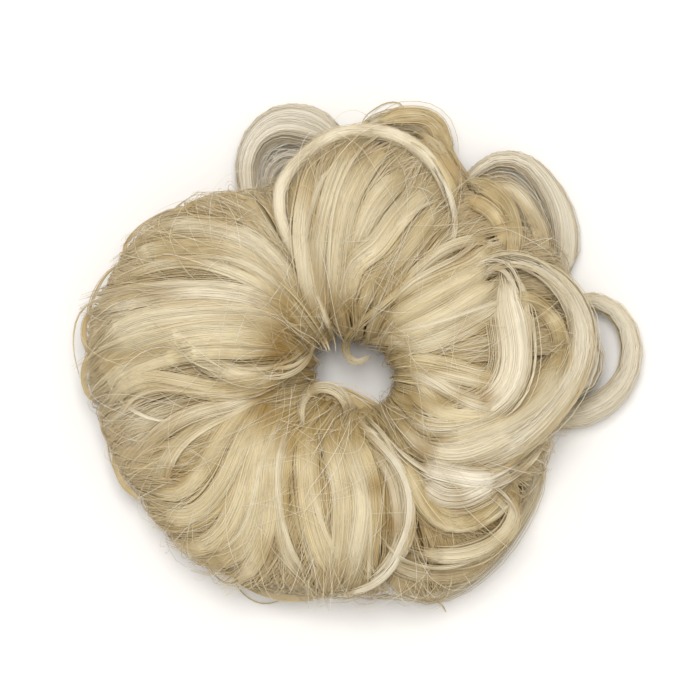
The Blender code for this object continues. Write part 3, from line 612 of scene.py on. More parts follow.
def run_of(rings):
    """Places along strands, from 0 at the root to 1 at the tip."""
    return np.linspace(0.0, 1.0, rings)[None, :]


# The body of the ring, as in the part

def rim_point(degrees):
    turn = math.radians(RIM_TURN)
    angle = math.radians(degrees) - turn
    long, short = RIM_RADII
    radius = long * short / math.hypot(short * math.cos(angle), long * math.sin(angle))
    bearing = math.radians(degrees)
    return RING_CENTRE[0] + radius * math.cos(bearing), RING_CENTRE[1] + radius * math.sin(bearing)


COUNT = len(WRAPS)
ROOTS = np.array([rim_point(row.root_deg) for row in WRAPS])
MIDS = np.array([(row.mid_x, row.mid_y) for row in WRAPS])
TIPS = np.array([(row.tip_x, row.tip_y) for row in WRAPS])
CRESTS = np.array([row.crest for row in WRAPS])
THICKS = np.array([row.thick for row in WRAPS])
WRAP_TURNS = np.array([float(row.wrap_deg) for row in WRAPS])


def seam_plan(seams, share):
    share = np.asarray(share)[..., None]
    return (
        ROOTS[seams] * (1 - share) * (1 - 2 * share)
        + MIDS[seams] * 4 * share * (1 - share)
        + TIPS[seams] * share * (2 * share - 1)
    )


def body_point(place, turn):
    """Points of the body: place counts locks round the ring, and turn runs in degrees
    from the rim of the hole over the crest to the outside."""
    place, turn = np.broadcast_arrays(np.asarray(place, float), np.asarray(turn, float))
    first = np.floor(place).astype(int)
    across = place - first
    seams, following = first % COUNT, (first + 1) % COUNT
    angle = np.radians(turn)
    share = (1 - np.cos(angle)) / 2
    plan = mixed(seam_plan(seams, share), seam_plan(following, share), across[..., None])
    crest = mixed(CRESTS[seams], CRESTS[following], across)
    reach = np.where(np.sin(angle) > 0, crest - GIRTH_HEIGHT, GIRTH_HEIGHT - LOWEST)
    height = GIRTH_HEIGHT + reach * np.sin(angle)
    return at_height(plan, height)


def panel_normal(first, turn):
    along = body_point(first + 0.5, turn + 1) - body_point(first + 0.5, turn - 1)
    side = body_point(first + 0.999, turn) - body_point(first + 0.001, turn)
    return unit(np.cross(along, side))


def body_normal(place, turn):
    """Which way is out of the body, eased over from each lock's panel to the next."""
    place, turn = np.broadcast_arrays(np.asarray(place, float), np.asarray(turn, float))
    first = np.floor(place)
    here = panel_normal(first, turn)
    start = unit(here + panel_normal(first - 1, turn))
    end = unit(here + panel_normal(first + 1, turn))
    return unit(mixed(start, end, (place - first)[..., None]))


def off_body(place, turn, lift):
    """Points that stand off the body by a lift."""
    return body_point(place, turn) + lift[..., None] * body_normal(place, turn)


def crown_height(lock, turn):
    """How thick a wrapped lock is in its middle, at a turn."""
    to_end = np.maximum(WRAP_TURNS[lock] - turn, 0.0)
    rise = np.sin(np.radians(np.minimum(90.0, 20 + np.maximum(0.0, turn + 20) * 1.1)))
    return THICKS[lock] * rise * (0.45 + 0.55 * np.minimum(1.0, to_end / 30))


def lock_lift(lock, turn, side):
    """How far a wrapped lock's outside stands off the body, with side from -1 to 1."""
    crown = crown_height(lock, turn)
    lip = 0.34 * crown
    return GAP + lip + (crown - lip) * np.sqrt(np.clip(1 - side * side, 0.0, 1.0))


def roof(place, turn):
    """How far the locks stand off the body at a place, without the grooves."""
    lifts = []
    for beside in (-0.3, 0.0, 0.3):
        first = np.floor(place + beside)
        side = 2 * (place + beside - first) - 1
        lifts.append(lock_lift(first.astype(int) % COUNT, turn, side))
    return np.max(lifts, axis=0)


def flowed(place, turn, follow):
    """Where a strand that starts at a place round the ring is after a turn, with follow how
    far it joins in the lean."""
    locks, leans, bows = np.array(FLOWS).T
    lean = np.interp(place, locks, leans, period=COUNT)
    bow = np.interp(place, locks, bows, period=COUNT)
    share = (1 - np.cos(np.radians(np.clip(turn, 0, 180)))) / 2
    return place + follow * lean * eased((turn - 85) / 105) + bow * arch(share)


def surface_lift(place, turn):
    """How far hair that lies on the locks stands off the body, with the grooves partly full."""
    first = np.floor(place)
    own = lock_lift(first.astype(int) % COUNT, turn, 2 * (place - first) - 1)
    return mixed(own, roof(place, turn), GROOVE_FILL)


# Meshes

band_low, band_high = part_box("elastic_band")
band_middle = (band_low + band_high) / 2
SHIFT = np.array([band_middle.x / MM - RING_CENTRE[0], band_middle.y / MM - RING_CENTRE[1], 0.0])


def made_mesh(name, points, faces, tints, layout, normals, finish):
    """A smooth mesh in metres from points in millimetres, a tint and a normal for each
    point, and a place on the strand map for each corner of each face."""
    mesh = bpy.data.meshes.new(name)
    corners = np.concatenate([np.asarray(group).reshape(-1) for group in faces])
    sizes = np.concatenate([np.full(len(group), np.shape(group)[1]) for group in faces])
    starts = np.concatenate([[0], np.cumsum(sizes)[:-1]])
    mesh.vertices.add(len(points))
    mesh.vertices.foreach_set("co", ((points + SHIFT) * MM).astype(np.float32).ravel())
    mesh.loops.add(len(corners))
    mesh.loops.foreach_set("vertex_index", corners.astype(np.int32))
    mesh.polygons.add(len(sizes))
    mesh.polygons.foreach_set("loop_start", starts.astype(np.int32))
    mesh.polygons.foreach_set("loop_total", sizes.astype(np.int32))
    mesh.update(calc_edges=True)
    mesh.validate()
    mesh.shade_smooth()
    colour = mesh.color_attributes.new("tint", "FLOAT_COLOR", "POINT")
    shades = np.concatenate([tints, np.ones((len(tints), 1))], axis=1)
    colour.data.foreach_set("color", shades.astype(np.float32).ravel())
    map_layer = mesh.uv_layers.new(name="OFBake")
    map_layer.data.foreach_set("uv", np.concatenate(layout).astype(np.float32).ravel())
    mesh.normals_split_custom_set_from_vertices(normals.astype(np.float32))
    mesh.materials.append(finish)
    return mesh


def map_corners(u, v, wide, high):
    """Where the four corners of quads are on the strand map, from the first one of each."""
    return np.stack([
        np.stack([u, v], -1), np.stack([u + wide, v], -1),
        np.stack([u + wide, v + high], -1), np.stack([u, v + high], -1),
    ], axis=-2).reshape(-1, 2)


def sheet_of(rings):
    """Quads between closed rings of points, with their corners on the strand map."""
    count, around = rings.shape[:2]
    numbers = np.arange(count * around).reshape(count, around)
    beside = np.roll(numbers, -1, axis=1)
    quads = np.stack([numbers[:-1], beside[:-1], beside[1:], numbers[1:]], axis=-1).reshape(-1, 4)
    u = np.broadcast_to(np.arange(around) / around, (count - 1, around))
    v = np.broadcast_to((np.arange(count - 1) / (count - 1))[:, None], u.shape)
    return quads, map_corners(u, v, 1 / around, 1 / (count - 1))


def core_mesh(rings, tints):
    """A closed form through rings of points, each end shut by one face."""
    count, around = rings.shape[:2]
    quads, uv = sheet_of(rings)
    ends = np.array([np.arange(around)[::-1], np.arange(around) + (count - 1) * around])
    uv = np.concatenate([uv, np.tile([[0.5, 0.01]], (2 * around, 1))])
    uv = uv * np.array([CORE_COLUMN, 1.0])
    points = rings.reshape(-1, 3)
    return points, [quads, ends], tints.reshape(-1, 3), [uv], np.zeros_like(points)


def strand_mesh(paths, radii, tints, facing=None):
    """Three-sided tubes along paths, a row of points for each strand. Where facing gives
    the normals of the lock that the strands lie on, they share in them."""
    strands, rings = paths.shape[:2]
    paths = np.concatenate([paths[..., :2], np.maximum(paths[..., 2:], LOWEST_STRAND)], axis=-1)
    along = unit(np.gradient(paths, axis=1))
    aside = unit(np.cross(along[:, 0], np.array([0.31, 0.17, 0.93])))
    sides = [aside]
    for k in range(1, rings):
        aside = unit(aside - along[:, k] * np.sum(aside * along[:, k], axis=-1, keepdims=True))
        sides.append(aside)
    first = np.stack(sides, axis=1)
    second = np.cross(along, first)
    angles = 2 * math.pi * np.arange(3)[:, None] / 3
    outward = first[:, :, None] * np.cos(angles) + second[:, :, None] * np.sin(angles)
    points = paths[:, :, None] + radii[..., None, None] * outward
    normals = outward if facing is None else unit(mixed(outward, facing[:, :, None], FACING_SHARE))
    numbers = np.arange(points.shape[0] * rings * 3).reshape(strands, rings, 3)
    beside = np.roll(numbers, -1, axis=2)
    quads = np.stack([numbers[:, :-1], beside[:, :-1], beside[:, 1:], numbers[:, 1:]], axis=-1)
    ends = np.concatenate([numbers[:, 0, ::-1], numbers[:, -1]])
    column = (1 - CORE_COLUMN) / strands
    left = CORE_COLUMN + np.arange(strands)[:, None, None] * column
    u = left + np.arange(3)[None, None, :] * column * 0.3
    v = np.arange(rings - 1)[None, :, None] / (rings - 1)
    uv = map_corners(*np.broadcast_arrays(u, v), column * 0.3, 1 / (rings - 1))
    end_uv = np.repeat(np.stack([left[:, 0, 0], np.full(strands, 0.001)], -1), 3, axis=0)
    end_uv = np.concatenate([end_uv, end_uv + [0.0, 0.998]])
    shades = np.repeat(tints[:, :, None, :], 3, axis=2).reshape(-1, 3)
    return points.reshape(-1, 3), [quads.reshape(-1, 4), ends], shades, [uv, end_uv], normals.reshape(-1, 3)


def one_piece(name, parts, finish, replaced=()):
    """One object from several meshes' points, faces, tints, places on the map and normals."""
    points, face_groups, tints, layouts, normals = zip(*parts)
    firsts = np.cumsum([0] + [len(each) for each in points])
    faces = [group + first for groups, first in zip(face_groups, firsts) for group in groups]
    layout = [each for group in layouts for each in group]
    points, tints, normals = (np.concatenate(each) for each in (points, tints, normals))
    mesh = made_mesh(name, points, faces, tints, layout, normals, finish)
    obj = bpy.data.objects.new(name, mesh)
    bpy.context.scene.collection.objects.link(obj)
    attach(obj, "root")
    if replaced:
        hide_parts(*replaced)


# Colour and thickness along strands

def tone_colour(tone):
    """The colour of hair for a tone from -1, dark gold, over 0, pale, to 1, ash."""
    tone = np.clip(tone, -1.0, 1.0)[..., None]
    darker = mixed(PALE, GOLD, -np.minimum(tone, 0.0))
    return np.where(tone < 0, darker, mixed(PALE, ASH, tone))


def strand_tints(tones, along, root_depth, root_reach=0.22, clump_edge_shade=0.0):
    """Colours along strands: along runs from 0 at the root to 1 at the tip. The roots take
    painted shade in deep gold, and the last argument is how far the strands take painted shade between
    clumps."""
    colours = tone_colour(tones)[:, None, :] * np.ones(along.shape + (1,))
    colours = colours * RANDOM.normal(1.0, TINT_SCATTER, (len(tones), 1, 1))
    depth = np.maximum(root_depth * (1 - eased(along / root_reach)), clump_edge_shade)[..., None]
    return np.clip(mixed(colours, PAINTED_SHADE_GOLD, depth), 0.0, 0.98)


# How deep the painted shade of the pockets is at each point
def pocket_shade(points):
    depth = np.zeros(points.shape[:-1])
    for row in SHADE_POCKETS:
        away = np.hypot(points[..., 0] - row.x, points[..., 1] - row.y) / row.reach
        depth = np.maximum(depth, row.depth * (1 - eased(away)))
    return depth


def values_of(data, key, width):
    """Rows of numbers from a mesh's data."""
    flat = np.empty(width * len(data))
    data.foreach_get(key, flat)
    return flat.reshape(-1, width)


def paint_covered_shade(pieces):
    """Paints shade, in deep gold, on the hair that lies below its surroundings, and in the pockets."""
    corners = [values_of(piece.data.vertices, "co", 3) / MM - SHIFT for piece in pieces]
    points = np.concatenate(corners)
    low = points.min(axis=0)[:2] - 2 * COVER_STEP
    cells = ((points[:, :2] - low) / COVER_STEP).astype(int)
    cover = np.zeros(cells.max(axis=0) + 3)
    np.maximum.at(cover, (cells[:, 0], cells[:, 1]), points[:, 2])
    cover = blurred(grown(cover, COVER_REACH), 2 * COVER_REACH)
    for piece, places in zip(pieces, corners):
        cells = ((places[:, :2] - low) / COVER_STEP).astype(int)
        below = cover[cells[:, 0], cells[:, 1]] - places[:, 2]
        share = COVERED_SHARE * eased((below - SHALLOW) / DEEPEST)
        buried = eased((below - 2 * DEEPEST) / (2 * DEEPEST))
        share = mixed(share, BURIED_SHARE * (share > 0), buried)
        if piece.name.startswith(("hair_loop", "hair_curl")):
            share = share * BUNDLE_COVERED
        # Painted shade in the pockets between the locks
        hollow = POCKET_SHADE_SHARE * pocket_shade(places)[:, None]
        tint = piece.data.attributes["tint"].data
        tints = values_of(tint, "color", 4)
        colours = mixed(tints[:, :3], np.minimum(PAINTED_SHADE_GOLD, tints[:, :3]), share[:, None])
        tints[:, :3] = mixed(colours, POCKET_SHADE_GOLD, hollow)
        tint.foreach_set("color", tints.ravel())


def strand_radii(count, rings, size=1.0):
    """Radii along strands, finer towards both ends, with size for finer or coarser hair."""
    along = np.linspace(0.0, 1.0, rings)
    taper = 0.45 + 0.55 * np.minimum(1.0, 7 * np.minimum(along + 0.02, 1 - along))
    return STRAND_RADIUS * size * between(0.75, 1.3, count) * taper


def single_hairs(paths, tones, facing, size):
    """Loose hairs along paths, without painted shade at the root."""
    count, rings = paths.shape[:2]
    tints = strand_tints(tones, np.zeros((count, rings)), 0.0)
    return strand_mesh(paths, strand_radii(count, rings, size), tints, np.broadcast_to(facing, paths.shape))


def smooth_path(places, count):
    """Evenly spaced rows on a smooth curve through the places."""
    knots = np.asarray(places, float)
    knots = np.concatenate([[2 * knots[0] - knots[1]], knots, [2 * knots[-1] - knots[-2]]])
    t = (np.arange(PATH_STEPS) / PATH_STEPS)[None, :, None]
    a, b, c, d = (knots[k: len(knots) - 3 + k][:, None, :] for k in range(4))
    bend, twist = 2 * a - 5 * b + 4 * c - d, 3 * b - a - 3 * c + d
    fine = 0.5 * (2 * b + (c - a) * t + bend * t ** 2 + twist * t ** 3)
    fine = np.concatenate([fine.reshape(-1, knots.shape[1]), knots[-2:-1]])
    steps = np.linalg.norm(np.diff(fine[:, :2], axis=0), axis=1)
    lengths = np.concatenate([[0.0], np.cumsum(steps)])
    wanted = np.linspace(0.0, lengths[-1], count)
    return np.stack([np.interp(wanted, lengths, fine[:, k]) for k in range(fine.shape[1])], axis=-1)


# Wrapped locks

def lock_core(lock, tone):
    """A closed form inside a wrapped lock, narrower and thinner towards the tip."""
    last = WRAP_TURNS[lock] - LOCK_CORE_SHORT
    turns = np.linspace(FIRST_TURN, last, LOCK_CORE_ROWS)
    outer_sides = np.linspace(-1.0, 1.0, LOCK_CORE_SIDES)
    shape = []
    for turn in turns:
        narrowed = LOCK_CORE_TAPER * (1 - eased((last - turn) / LOCK_TAPER_TURN))
        half = LOCK_CORE_HALF - narrowed
        lift = GAP + (lock_lift(lock, turn, outer_sides) - GAP) * (CORE_SHARE - 1.2 * narrowed)
        outer = off_body(lock + 0.5 + outer_sides * half, turn, lift)
        inner = off_body(lock + 0.5 + np.array([1.0, 0.0, -1.0]) * half, turn, np.full(3, GAP))
        shape.append(np.concatenate([outer, inner]))
    rings = np.array(shape)
    # Painted shade: the core is darker than its strands, deep gold at the roots and darker at the grooves
    # between locks
    colour = tone_colour(np.array(tone)) * LOCK_CORE_SHADE
    root = (1 - eased((turns - FIRST_TURN) / LOCK_ROOT_TURN))[:, None, None]
    tints = mixed(np.broadcast_to(colour, rings.shape), PAINTED_SHADE_GOLD, LOCK_ROOT_SHADE * root)
    groove = np.ones(rings.shape[1])
    groove[0] = groove[LOCK_CORE_SIDES - 1:] = GROOVE_SHADE
    groove[[1, LOCK_CORE_SIDES - 2]] = GROOVE_EDGE_SHADE
    return core_mesh(rings, tints * groove[None, :, None])


def lock_strands(lock, tone, count, clumps, root_depth, root_reach):
    """Strands over a wrapped lock, in clumps that drift and bow with the hair's flow. Their
    ends bend sideways and tuck in below the widest girth."""
    t = run_of(LOCK_RINGS)
    clump = np.arange(count) % clumps

    def of_clump(values):
        return values[clump][:, None]

    middles = (np.arange(clumps) * 2 + 1) / clumps - 1 + RANDOM.normal(0, 0.06, clumps)
    drift = of_clump(RANDOM.normal(0, 0.20, clumps))
    bow = of_clump(RANDOM.normal(0, 0.12, clumps))
    raised = of_clump(RANDOM.uniform(0.0, 0.4, clumps))
    bend = of_clump(RANDOM.normal(0, 0.30, clumps)) + scatter(0.09, count)
    wave = of_clump(RANDOM.uniform(0.7, 1.3, clumps)) * t + of_clump(RANDOM.random(clumps))
    spread = between(-1, 1, count) + scatter(0.12, count)
    width = 0.98 / clumps * (0.98 + 0.16 * arch(t))
    side = (
        of_clump(middles) + drift * (t - 0.35) + bow * arch(t) + width * spread
        + scatter(0.035, count) * (t - 0.4)
    )
    end = WRAP_TURNS[lock] + LOCK_OVERRUN - LOCK_END_RANGE * RANDOM.random((count, 1)) ** 2
    start = ROOT_TURN + between(0, 8, count)
    turn = mixed(start, end, t)
    tucked = eased((turn - (WRAP_TURNS[lock] - TUCK_START)) / TUCK_TURN)
    follow = between(0.25, 1.15, count)
    place = flowed(lock + 0.5 + side * LOCK_HALF, turn, follow)
    place = place + bend * eased((turn - BEND_START) / BEND_TURN)
    place = place + 0.07 * np.sin(2 * math.pi * wave) * arch(t)
    dome = CLUMP_DOME * np.sqrt(np.clip(1 - (spread / 1.25) ** 2, 0, 1))
    lift = (
        surface_lift(place, turn) * between(0.88, 0.98, count)
        + (raised + dome) * arch(np.clip(t * 1.05, 0, 1)) ** 0.7
    )
    loose = RANDOM.random((count, 1)) < LOOSE_SHARE
    lift = (lift + loose * between(0.4, 1.4, count) * arch(t)) * (1 - TUCK_SHARE * tucked)
    across = unit(body_point(place + 0.05, turn) - body_point(place - 0.05, turn))
    slope = 0.30 * (2 * (place - np.floor(place)) - 1) + 0.30 * spread
    outside = eased((turn - OUTSIDE_START) / OUTSIDE_TURN)[..., None]
    facing = unit(body_normal(place, turn) + across * slope[..., None] + UPWARD * (0.5 * outside))
    tones = tone + RANDOM.normal(0, 0.18, clumps)[clump] + RANDOM.normal(0, 0.08, count)
    # Painted shade at the edges of clumps and of locks
    own_side = np.abs(2 * (place - np.floor(place)) - 1)
    clump_edge_shade = 0.34 * np.minimum(1.0, np.abs(spread)) ** 3 + 0.22 * own_side ** 4
    tints = strand_tints(tones, np.broadcast_to(t, turn.shape), root_depth, root_reach, clump_edge_shade)
    # Painted light: strands turn paler on the outside, as if lit from the white floor
    tints = mixed(tints, ASH, OUTSIDE_PAINTED_LIGHT * outside)
    return strand_mesh(off_body(place, turn, lift), strand_radii(count, LOCK_RINGS), tints, facing)


# Curls and loops

def tree_of(nodes):
    """The surfaces of some of the part's nodes, in millimetres, for rays to meet."""
    corners, faces = [], []
    for node in nodes:
        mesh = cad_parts[node].data
        first = len(corners)
        corners += [v.co / MM for v in mesh.vertices]
        faces += [[first + k for k in p.vertices] for p in mesh.polygons]
    return BVHTree.FromPolygons(corners, faces)


def solid_heights(node, points):
    """Top and bottom of a node over points of its path, in millimetres."""
    tree = tree_of([node])
    tops, bottoms = np.full(len(points), np.nan), np.full(len(points), np.nan)
    for k, point in enumerate(points):
        x, y = point[0] + SHIFT[0], point[1] + SHIFT[1]
        top = tree.ray_cast(Vector((x, y, ABOVE_ALL)), DOWN)[0]
        bottom = tree.ray_cast(Vector((x, y, BELOW_ALL)), -DOWN)[0]
        if top and bottom:
            tops[k], bottoms[k] = top.z, bottom.z
    known = np.flatnonzero(~np.isnan(tops))
    steps = np.arange(len(points))
    return np.interp(steps, known, tops[known]), np.interp(steps, known, bottoms[known])


def smoothed(values, reach):
    """Values along a path, each averaged with those within reach."""
    padded = np.concatenate([np.full(reach, values[0]), values, np.full(reach, values[-1])])
    weights = np.hanning(2 * reach + 3)[1:-1]
    return np.convolve(padded, weights / weights.sum(), mode="valid")


def sideways(path):
    """Which way is to the left, all along a flat path."""
    run = unit(np.gradient(path, axis=0))
    return np.stack([-run[:, 1], run[:, 0]], axis=-1)


def bundle_frame(middle):
    """Which way is aside and which is above, all along a bundle."""
    along = unit(np.gradient(middle, axis=0))
    aside = unit(np.stack([-along[:, 1], along[:, 0], np.zeros(len(along))], axis=-1))
    return aside, unit(np.cross(along, aside))


def bundle_core(middle, half_wide, half_high, tone, share=CORE_SHARE, cut=0):
    """A closed form inside a bundle, with cut the rows left off at each end."""
    aside, above = bundle_frame(middle)
    kept = slice(cut, len(middle) - cut)
    middle, half_wide, half_high, aside, above = (
        each[kept] for each in (middle, half_wide, half_high, aside, above))
    angles = np.linspace(0, 2 * math.pi, BUNDLE_SIDES, endpoint=False)
    rings = (
        middle[:, None, :]
        + aside[:, None, :] * (share * half_wide[:, None] * np.cos(angles))[..., None]
        + above[:, None, :] * (share * half_high[:, None] * np.sin(angles))[..., None]
    )
    # Painted shade: the closed form is darker than the strands over it
    tints = np.broadcast_to(tone_colour(np.array(tone)) * BUNDLE_SHADE, rings.shape)
    return core_mesh(rings, tints)


def bundle_strands(form, tone, count, clumps, root_depth, rings, frayed=0.05, innermost=0.70):
    """Strands along a bundle that stay in its oval section, in clumps that twist."""
    middle, half_wide, half_high = form
    aside, above = bundle_frame(middle)
    start = between(0.0, frayed, count)
    end = 1 - between(0.0, frayed, count)
    along = mixed(start, end, run_of(rings))
    clump = np.arange(count) % clumps
    bearing = (np.arange(clumps) + RANDOM.uniform(-0.3, 0.3, clumps)) * 2 * math.pi / clumps
    twist = RANDOM.normal(0.4, 0.3, clumps)[clump][:, None]
    angle = bearing[clump][:, None] + scatter(0.42, count) + twist * (along - 0.5) * 2
    swell = RANDOM.uniform(-0.12, 0.16, clumps)[clump][:, None]
    radius = np.sqrt(between(innermost, 1.06, count)) + swell
    radius = radius + scatter(0.03, count) * (along - 0.5)
    loose = RANDOM.random((count, 1)) < BUNDLE_LOOSE_SHARE
    radius = radius + loose * between(0.15, 0.55, count) * arch(along)
    aside, above = sampled(aside, along), sampled(above, along)
    wide, high = sampled(half_wide, along), sampled(half_high, along)
    paths = (
        sampled(middle, along)
        + aside * (wide * radius * np.cos(angle))[..., None]
        + above * (high * radius * np.sin(angle))[..., None]
    )
    facing = unit(
        aside * (high * np.cos(angle))[..., None]
        + above * (wide * np.maximum(np.abs(np.sin(angle)), 0.5))[..., None]
    )
    tones = tone + RANDOM.normal(0, 0.15, clumps)[clump] + RANDOM.normal(0, 0.09, count)
    # Painted shade on the strands at the sides of the bundle, away from its lit top
    clump_edge_shade = 0.26 * np.abs(np.cos(angle)) ** 3
    tints = strand_tints(tones, along, root_depth, 0.14, clump_edge_shade)
    return strand_mesh(paths, strand_radii(count, rings), tints, facing)


def curl_form(row):
    """The middle line, half width and half height of a curl, inside its solid."""
    path = smooth_path(row.path, BUNDLE_ROWS)
    tops, bottoms = solid_heights(row.name, path)
    thickest = row.thick / 2 * np.sqrt(path[:, 2] / path[:, 2].max())
    middle = at_height(path[:, :2], smoothed((tops + bottoms) / 2, 4))
    return middle, path[:, 2] / 2, np.minimum((tops - bottoms) / 2, thickest)


def wall_seat(locks_round, out):
    """A place out from the base's wall, with locks_round counted as in the table."""
    index = int(locks_round)
    ends = seam_plan(np.array([index % COUNT, (index + 1) % COUNT]), np.full(2, LOOP_SEAT_SHARE))
    run = ends[1] - ends[0]
    outward = np.array([run[1], -run[0]]) / np.linalg.norm(run)
    return ends[0] + run * (locks_round - index) + outward * out


def loop_form(row):
    """The middle line, half width and half height of a loop, with both roots on the wall."""
    ends = [
        (*wall_seat(locks_round, out), row.root_width)
        for locks_round in (row.leaves, row.returns)
        for out in (SEAT_GAP, ROOT_LENGTH)
    ]
    path = smooth_path([ends[0], ends[1], *row.path, ends[3], ends[2]], BUNDLE_ROWS)
    half_high = (row.high - row.low) / 2 * (path[:, 2] / path[:, 2].max()) ** 0.4
    return at_height(path[:, :2], row.high - half_high), path[:, 2] / 2, half_high


def veil_strands(row, middle):
    """Fine crossing hair inside a loop, sparse enough to see the table through it."""
    count = row.strands
    t = run_of(WISP_RINGS)
    inward = between(row.nearest, row.furthest, count)
    start = between(0.0, 0.35, count)
    end = between(0.65, 1.0, count)
    paths = sampled(middle, mixed(start, end, t))
    share = inward + scatter(0.10, count) * arch(t + between(0, 1, count))
    seat = (middle[0] + middle[-1]) / 2
    paths = mixed(paths, seat, np.clip(share, 0.0, 0.95)[..., None])
    paths[..., 2] = between(1.2, 8.0, count) + scatter(0.8, count) * arch(t)
    return single_hairs(paths, RANDOM.normal(1.0, 0.2, count), UPWARD, size=0.7)


# Wisps and single hairs over the rest

def height_map():
    """The solids' tops on a grid as seen from above, without the narrow grooves."""
    tree = tree_of(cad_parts)
    tops = np.zeros((len(MAP_X), len(MAP_Y)))
    for i, x in enumerate(MAP_X + SHIFT[0]):
        for k, y in enumerate(MAP_Y + SHIFT[1]):
            hit = tree.ray_cast(Vector((x, y, ABOVE_ALL)), DOWN)[0]
            if hit:
                tops[i, k] = hit.z
    return blurred(grown(tops, MAP_DILATION), MAP_BLURS)


TOPS = height_map()


def heights_below(points):
    """The height of what lies under points, as seen from above."""
    u = np.clip((points[..., 0] - MAP_X[0]) / MAP_STEP, 0, len(MAP_X) - 2)
    v = np.clip((points[..., 1] - MAP_Y[0]) / MAP_STEP, 0, len(MAP_Y) - 2)
    i, k = np.floor(u).astype(int), np.floor(v).astype(int)
    near = mixed(TOPS[i, k], TOPS[i, k + 1], v - k)
    far = mixed(TOPS[i + 1, k], TOPS[i + 1, k + 1], v - k)
    return mixed(near, far, u - i)


def path_heights(flat, steepest):
    """The height of what lies under a path, bridging what is steeper than a step allows."""
    tops = heights_below(flat)
    apart = np.abs(np.subtract.outer(np.arange(len(flat)), np.arange(len(flat))))
    return np.maximum(tops, (tops[:, None] - steepest * apart).max(axis=0))


def ribbon_place(row, off, along, spread, rise):
    """Points of a ribbon that lies over the locks, and which way is across it: along runs
    from 0 to 1, spread from -1 to 1 across, and rise lifts a point off the ribbon's own
    surface."""
    flat = smooth_path(row.path, PATH_POINTS)
    half = row.width / 2 * np.minimum(1.0, 0.45 + 2.4 * np.minimum(along, 1.06 - along))
    across = sampled(sideways(flat), along)
    plan = sampled(flat, along) + across * (half * spread)[..., None]
    mound = (off + 0.30 * half) * np.sqrt(np.clip(1 - (spread / 1.5) ** 2, 0, 1))
    ends = np.clip(5 * np.minimum(along, 1 - along), 0, 1) ** 0.6
    tops = sampled(smoothed(path_heights(flat, RIBBON_STEP), 2), along)
    under = np.maximum(heights_below(plan), tops - RIBBON_SAG)
    under = mixed(under, tops, 0.5 * np.clip(1 - np.abs(spread), 0, 1))
    height = under + 0.3 + mound * ends - RIBBON_DIP * (1 - ends) + rise
    return at_height(plan, height), at_height(across, np.zeros(across.shape[:-1]))


def ribbon_core(row, off):
    """A flat closed form inside a ribbon, down to what lies below it where that is near."""
    along = np.linspace(0.04, 0.90, RIBBON_RINGS)[:, None] * np.ones(RIBBON_LANES)
    spread = np.broadcast_to(np.linspace(-0.85, 0.85, RIBBON_LANES), along.shape)
    narrowed = np.minimum(1.0, 3.5 * np.minimum(along, 1 - along) + 0.25)
    top = ribbon_place(row, off, along, spread * narrowed, -0.22)[0]
    bottom = top[:, ::-1].copy()
    seat = np.maximum(heights_below(bottom) - 0.3, bottom[..., 2] - RIBBON_THICKEST)
    bottom[..., 2] = np.maximum(np.minimum(bottom[..., 2] - 0.4, seat), LOWEST_STRAND)
    rings = np.concatenate([top, bottom], axis=1)
    # Painted shade: the closed form is a little darker than the strands over it
    return core_mesh(rings, tone_colour(np.full(rings.shape[:2], row.tone)) * RIBBON_SHADE)


def ribbon_strands(row, off, root_depth):
    """Strands side by side over the locks, each at the height of what lies below it."""
    count = int(row.width * RIBBON_DENSITY)
    t = run_of(RIBBON_RINGS)
    start = 0.16 * RANDOM.random((count, 1)) ** 1.5
    end = 1 - 0.22 * RANDOM.random((count, 1)) ** 1.5
    along = mixed(start, end, t)
    spread = np.clip(scatter(0.62, count), -1.5, 1.5)
    spread = spread + scatter(0.12, count) * (along - 0.5)
    loose = RANDOM.random((count, 1)) < BUNDLE_LOOSE_SHARE
    rise = between(-0.15, 0.10, count) + loose * between(0.2, 1.2, count) * arch(t)
    paths, across = ribbon_place(row, off, along, spread, rise)
    normal = np.cross(unit(np.gradient(paths, axis=1)), across)
    normal = unit(normal * np.where(normal[..., 2:] < 0, -1.0, 1.0))
    facing = unit(normal + across * (0.45 * spread)[..., None])
    tones = row.tone + RANDOM.normal(0, 0.15) + RANDOM.normal(0, 0.08, count)
    # Painted shade on the strands at the edges of the ribbon
    clump_edge_shade = 0.28 * np.minimum(1.0, np.abs(spread) / 1.3) ** 2.5
    tints = strand_tints(tones, along, root_depth, 0.34, clump_edge_shade)
    return strand_mesh(paths, strand_radii(count, RIBBON_RINGS), tints, facing)


def lengthened(path, reach):
    """A path with one more place, straight on past its last."""
    last, before = np.array(path[-1]), np.array(path[-2])
    return path + [tuple(last + unit(last - before) * reach)] if reach else path


def splinter(row):
    """A narrow ribbon that leaves its parent's root and crosses to one side of it."""
    flat = smooth_path(row.path, SPLINTER_PLACES)
    start = RANDOM.uniform(-0.25, 0.25)
    end = RANDOM.uniform(0.45, 1.0) * RANDOM.choice([-1.0, 1.0])
    shift = row.width * mixed(start, end, np.linspace(0, 1, SPLINTER_PLACES) ** 1.3)
    path = [tuple(place) for place in flat + sideways(flat) * shift[:, None]]
    tone = row.tone + RANDOM.uniform(-0.15, 0.4)
    return row._replace(width=RANDOM.uniform(1.1, 2.2), tone=tone, path=path)


def wisp_form(row):
    """The middle line, half width and half height of a wisp over what lies below it."""
    flat = smooth_path(row.path, PATH_POINTS)
    tops = np.maximum(path_heights(flat, STEEPEST_STEP), row.low)
    middle = at_height(flat, smoothed(tops, 3) + row.off + 0.2 * row.width)
    run = np.clip(np.linspace(0, 1, PATH_POINTS), 0.02, 0.98)
    half_wide = row.width / 2 * (0.45 + 0.55 * arch(run) ** 0.6)
    return middle, half_wide, np.minimum(half_wide * 0.6, 0.9)


def anywhere(count):
    """A random place round the ring for each strand."""
    return between(0, COUNT, count) + COUNT


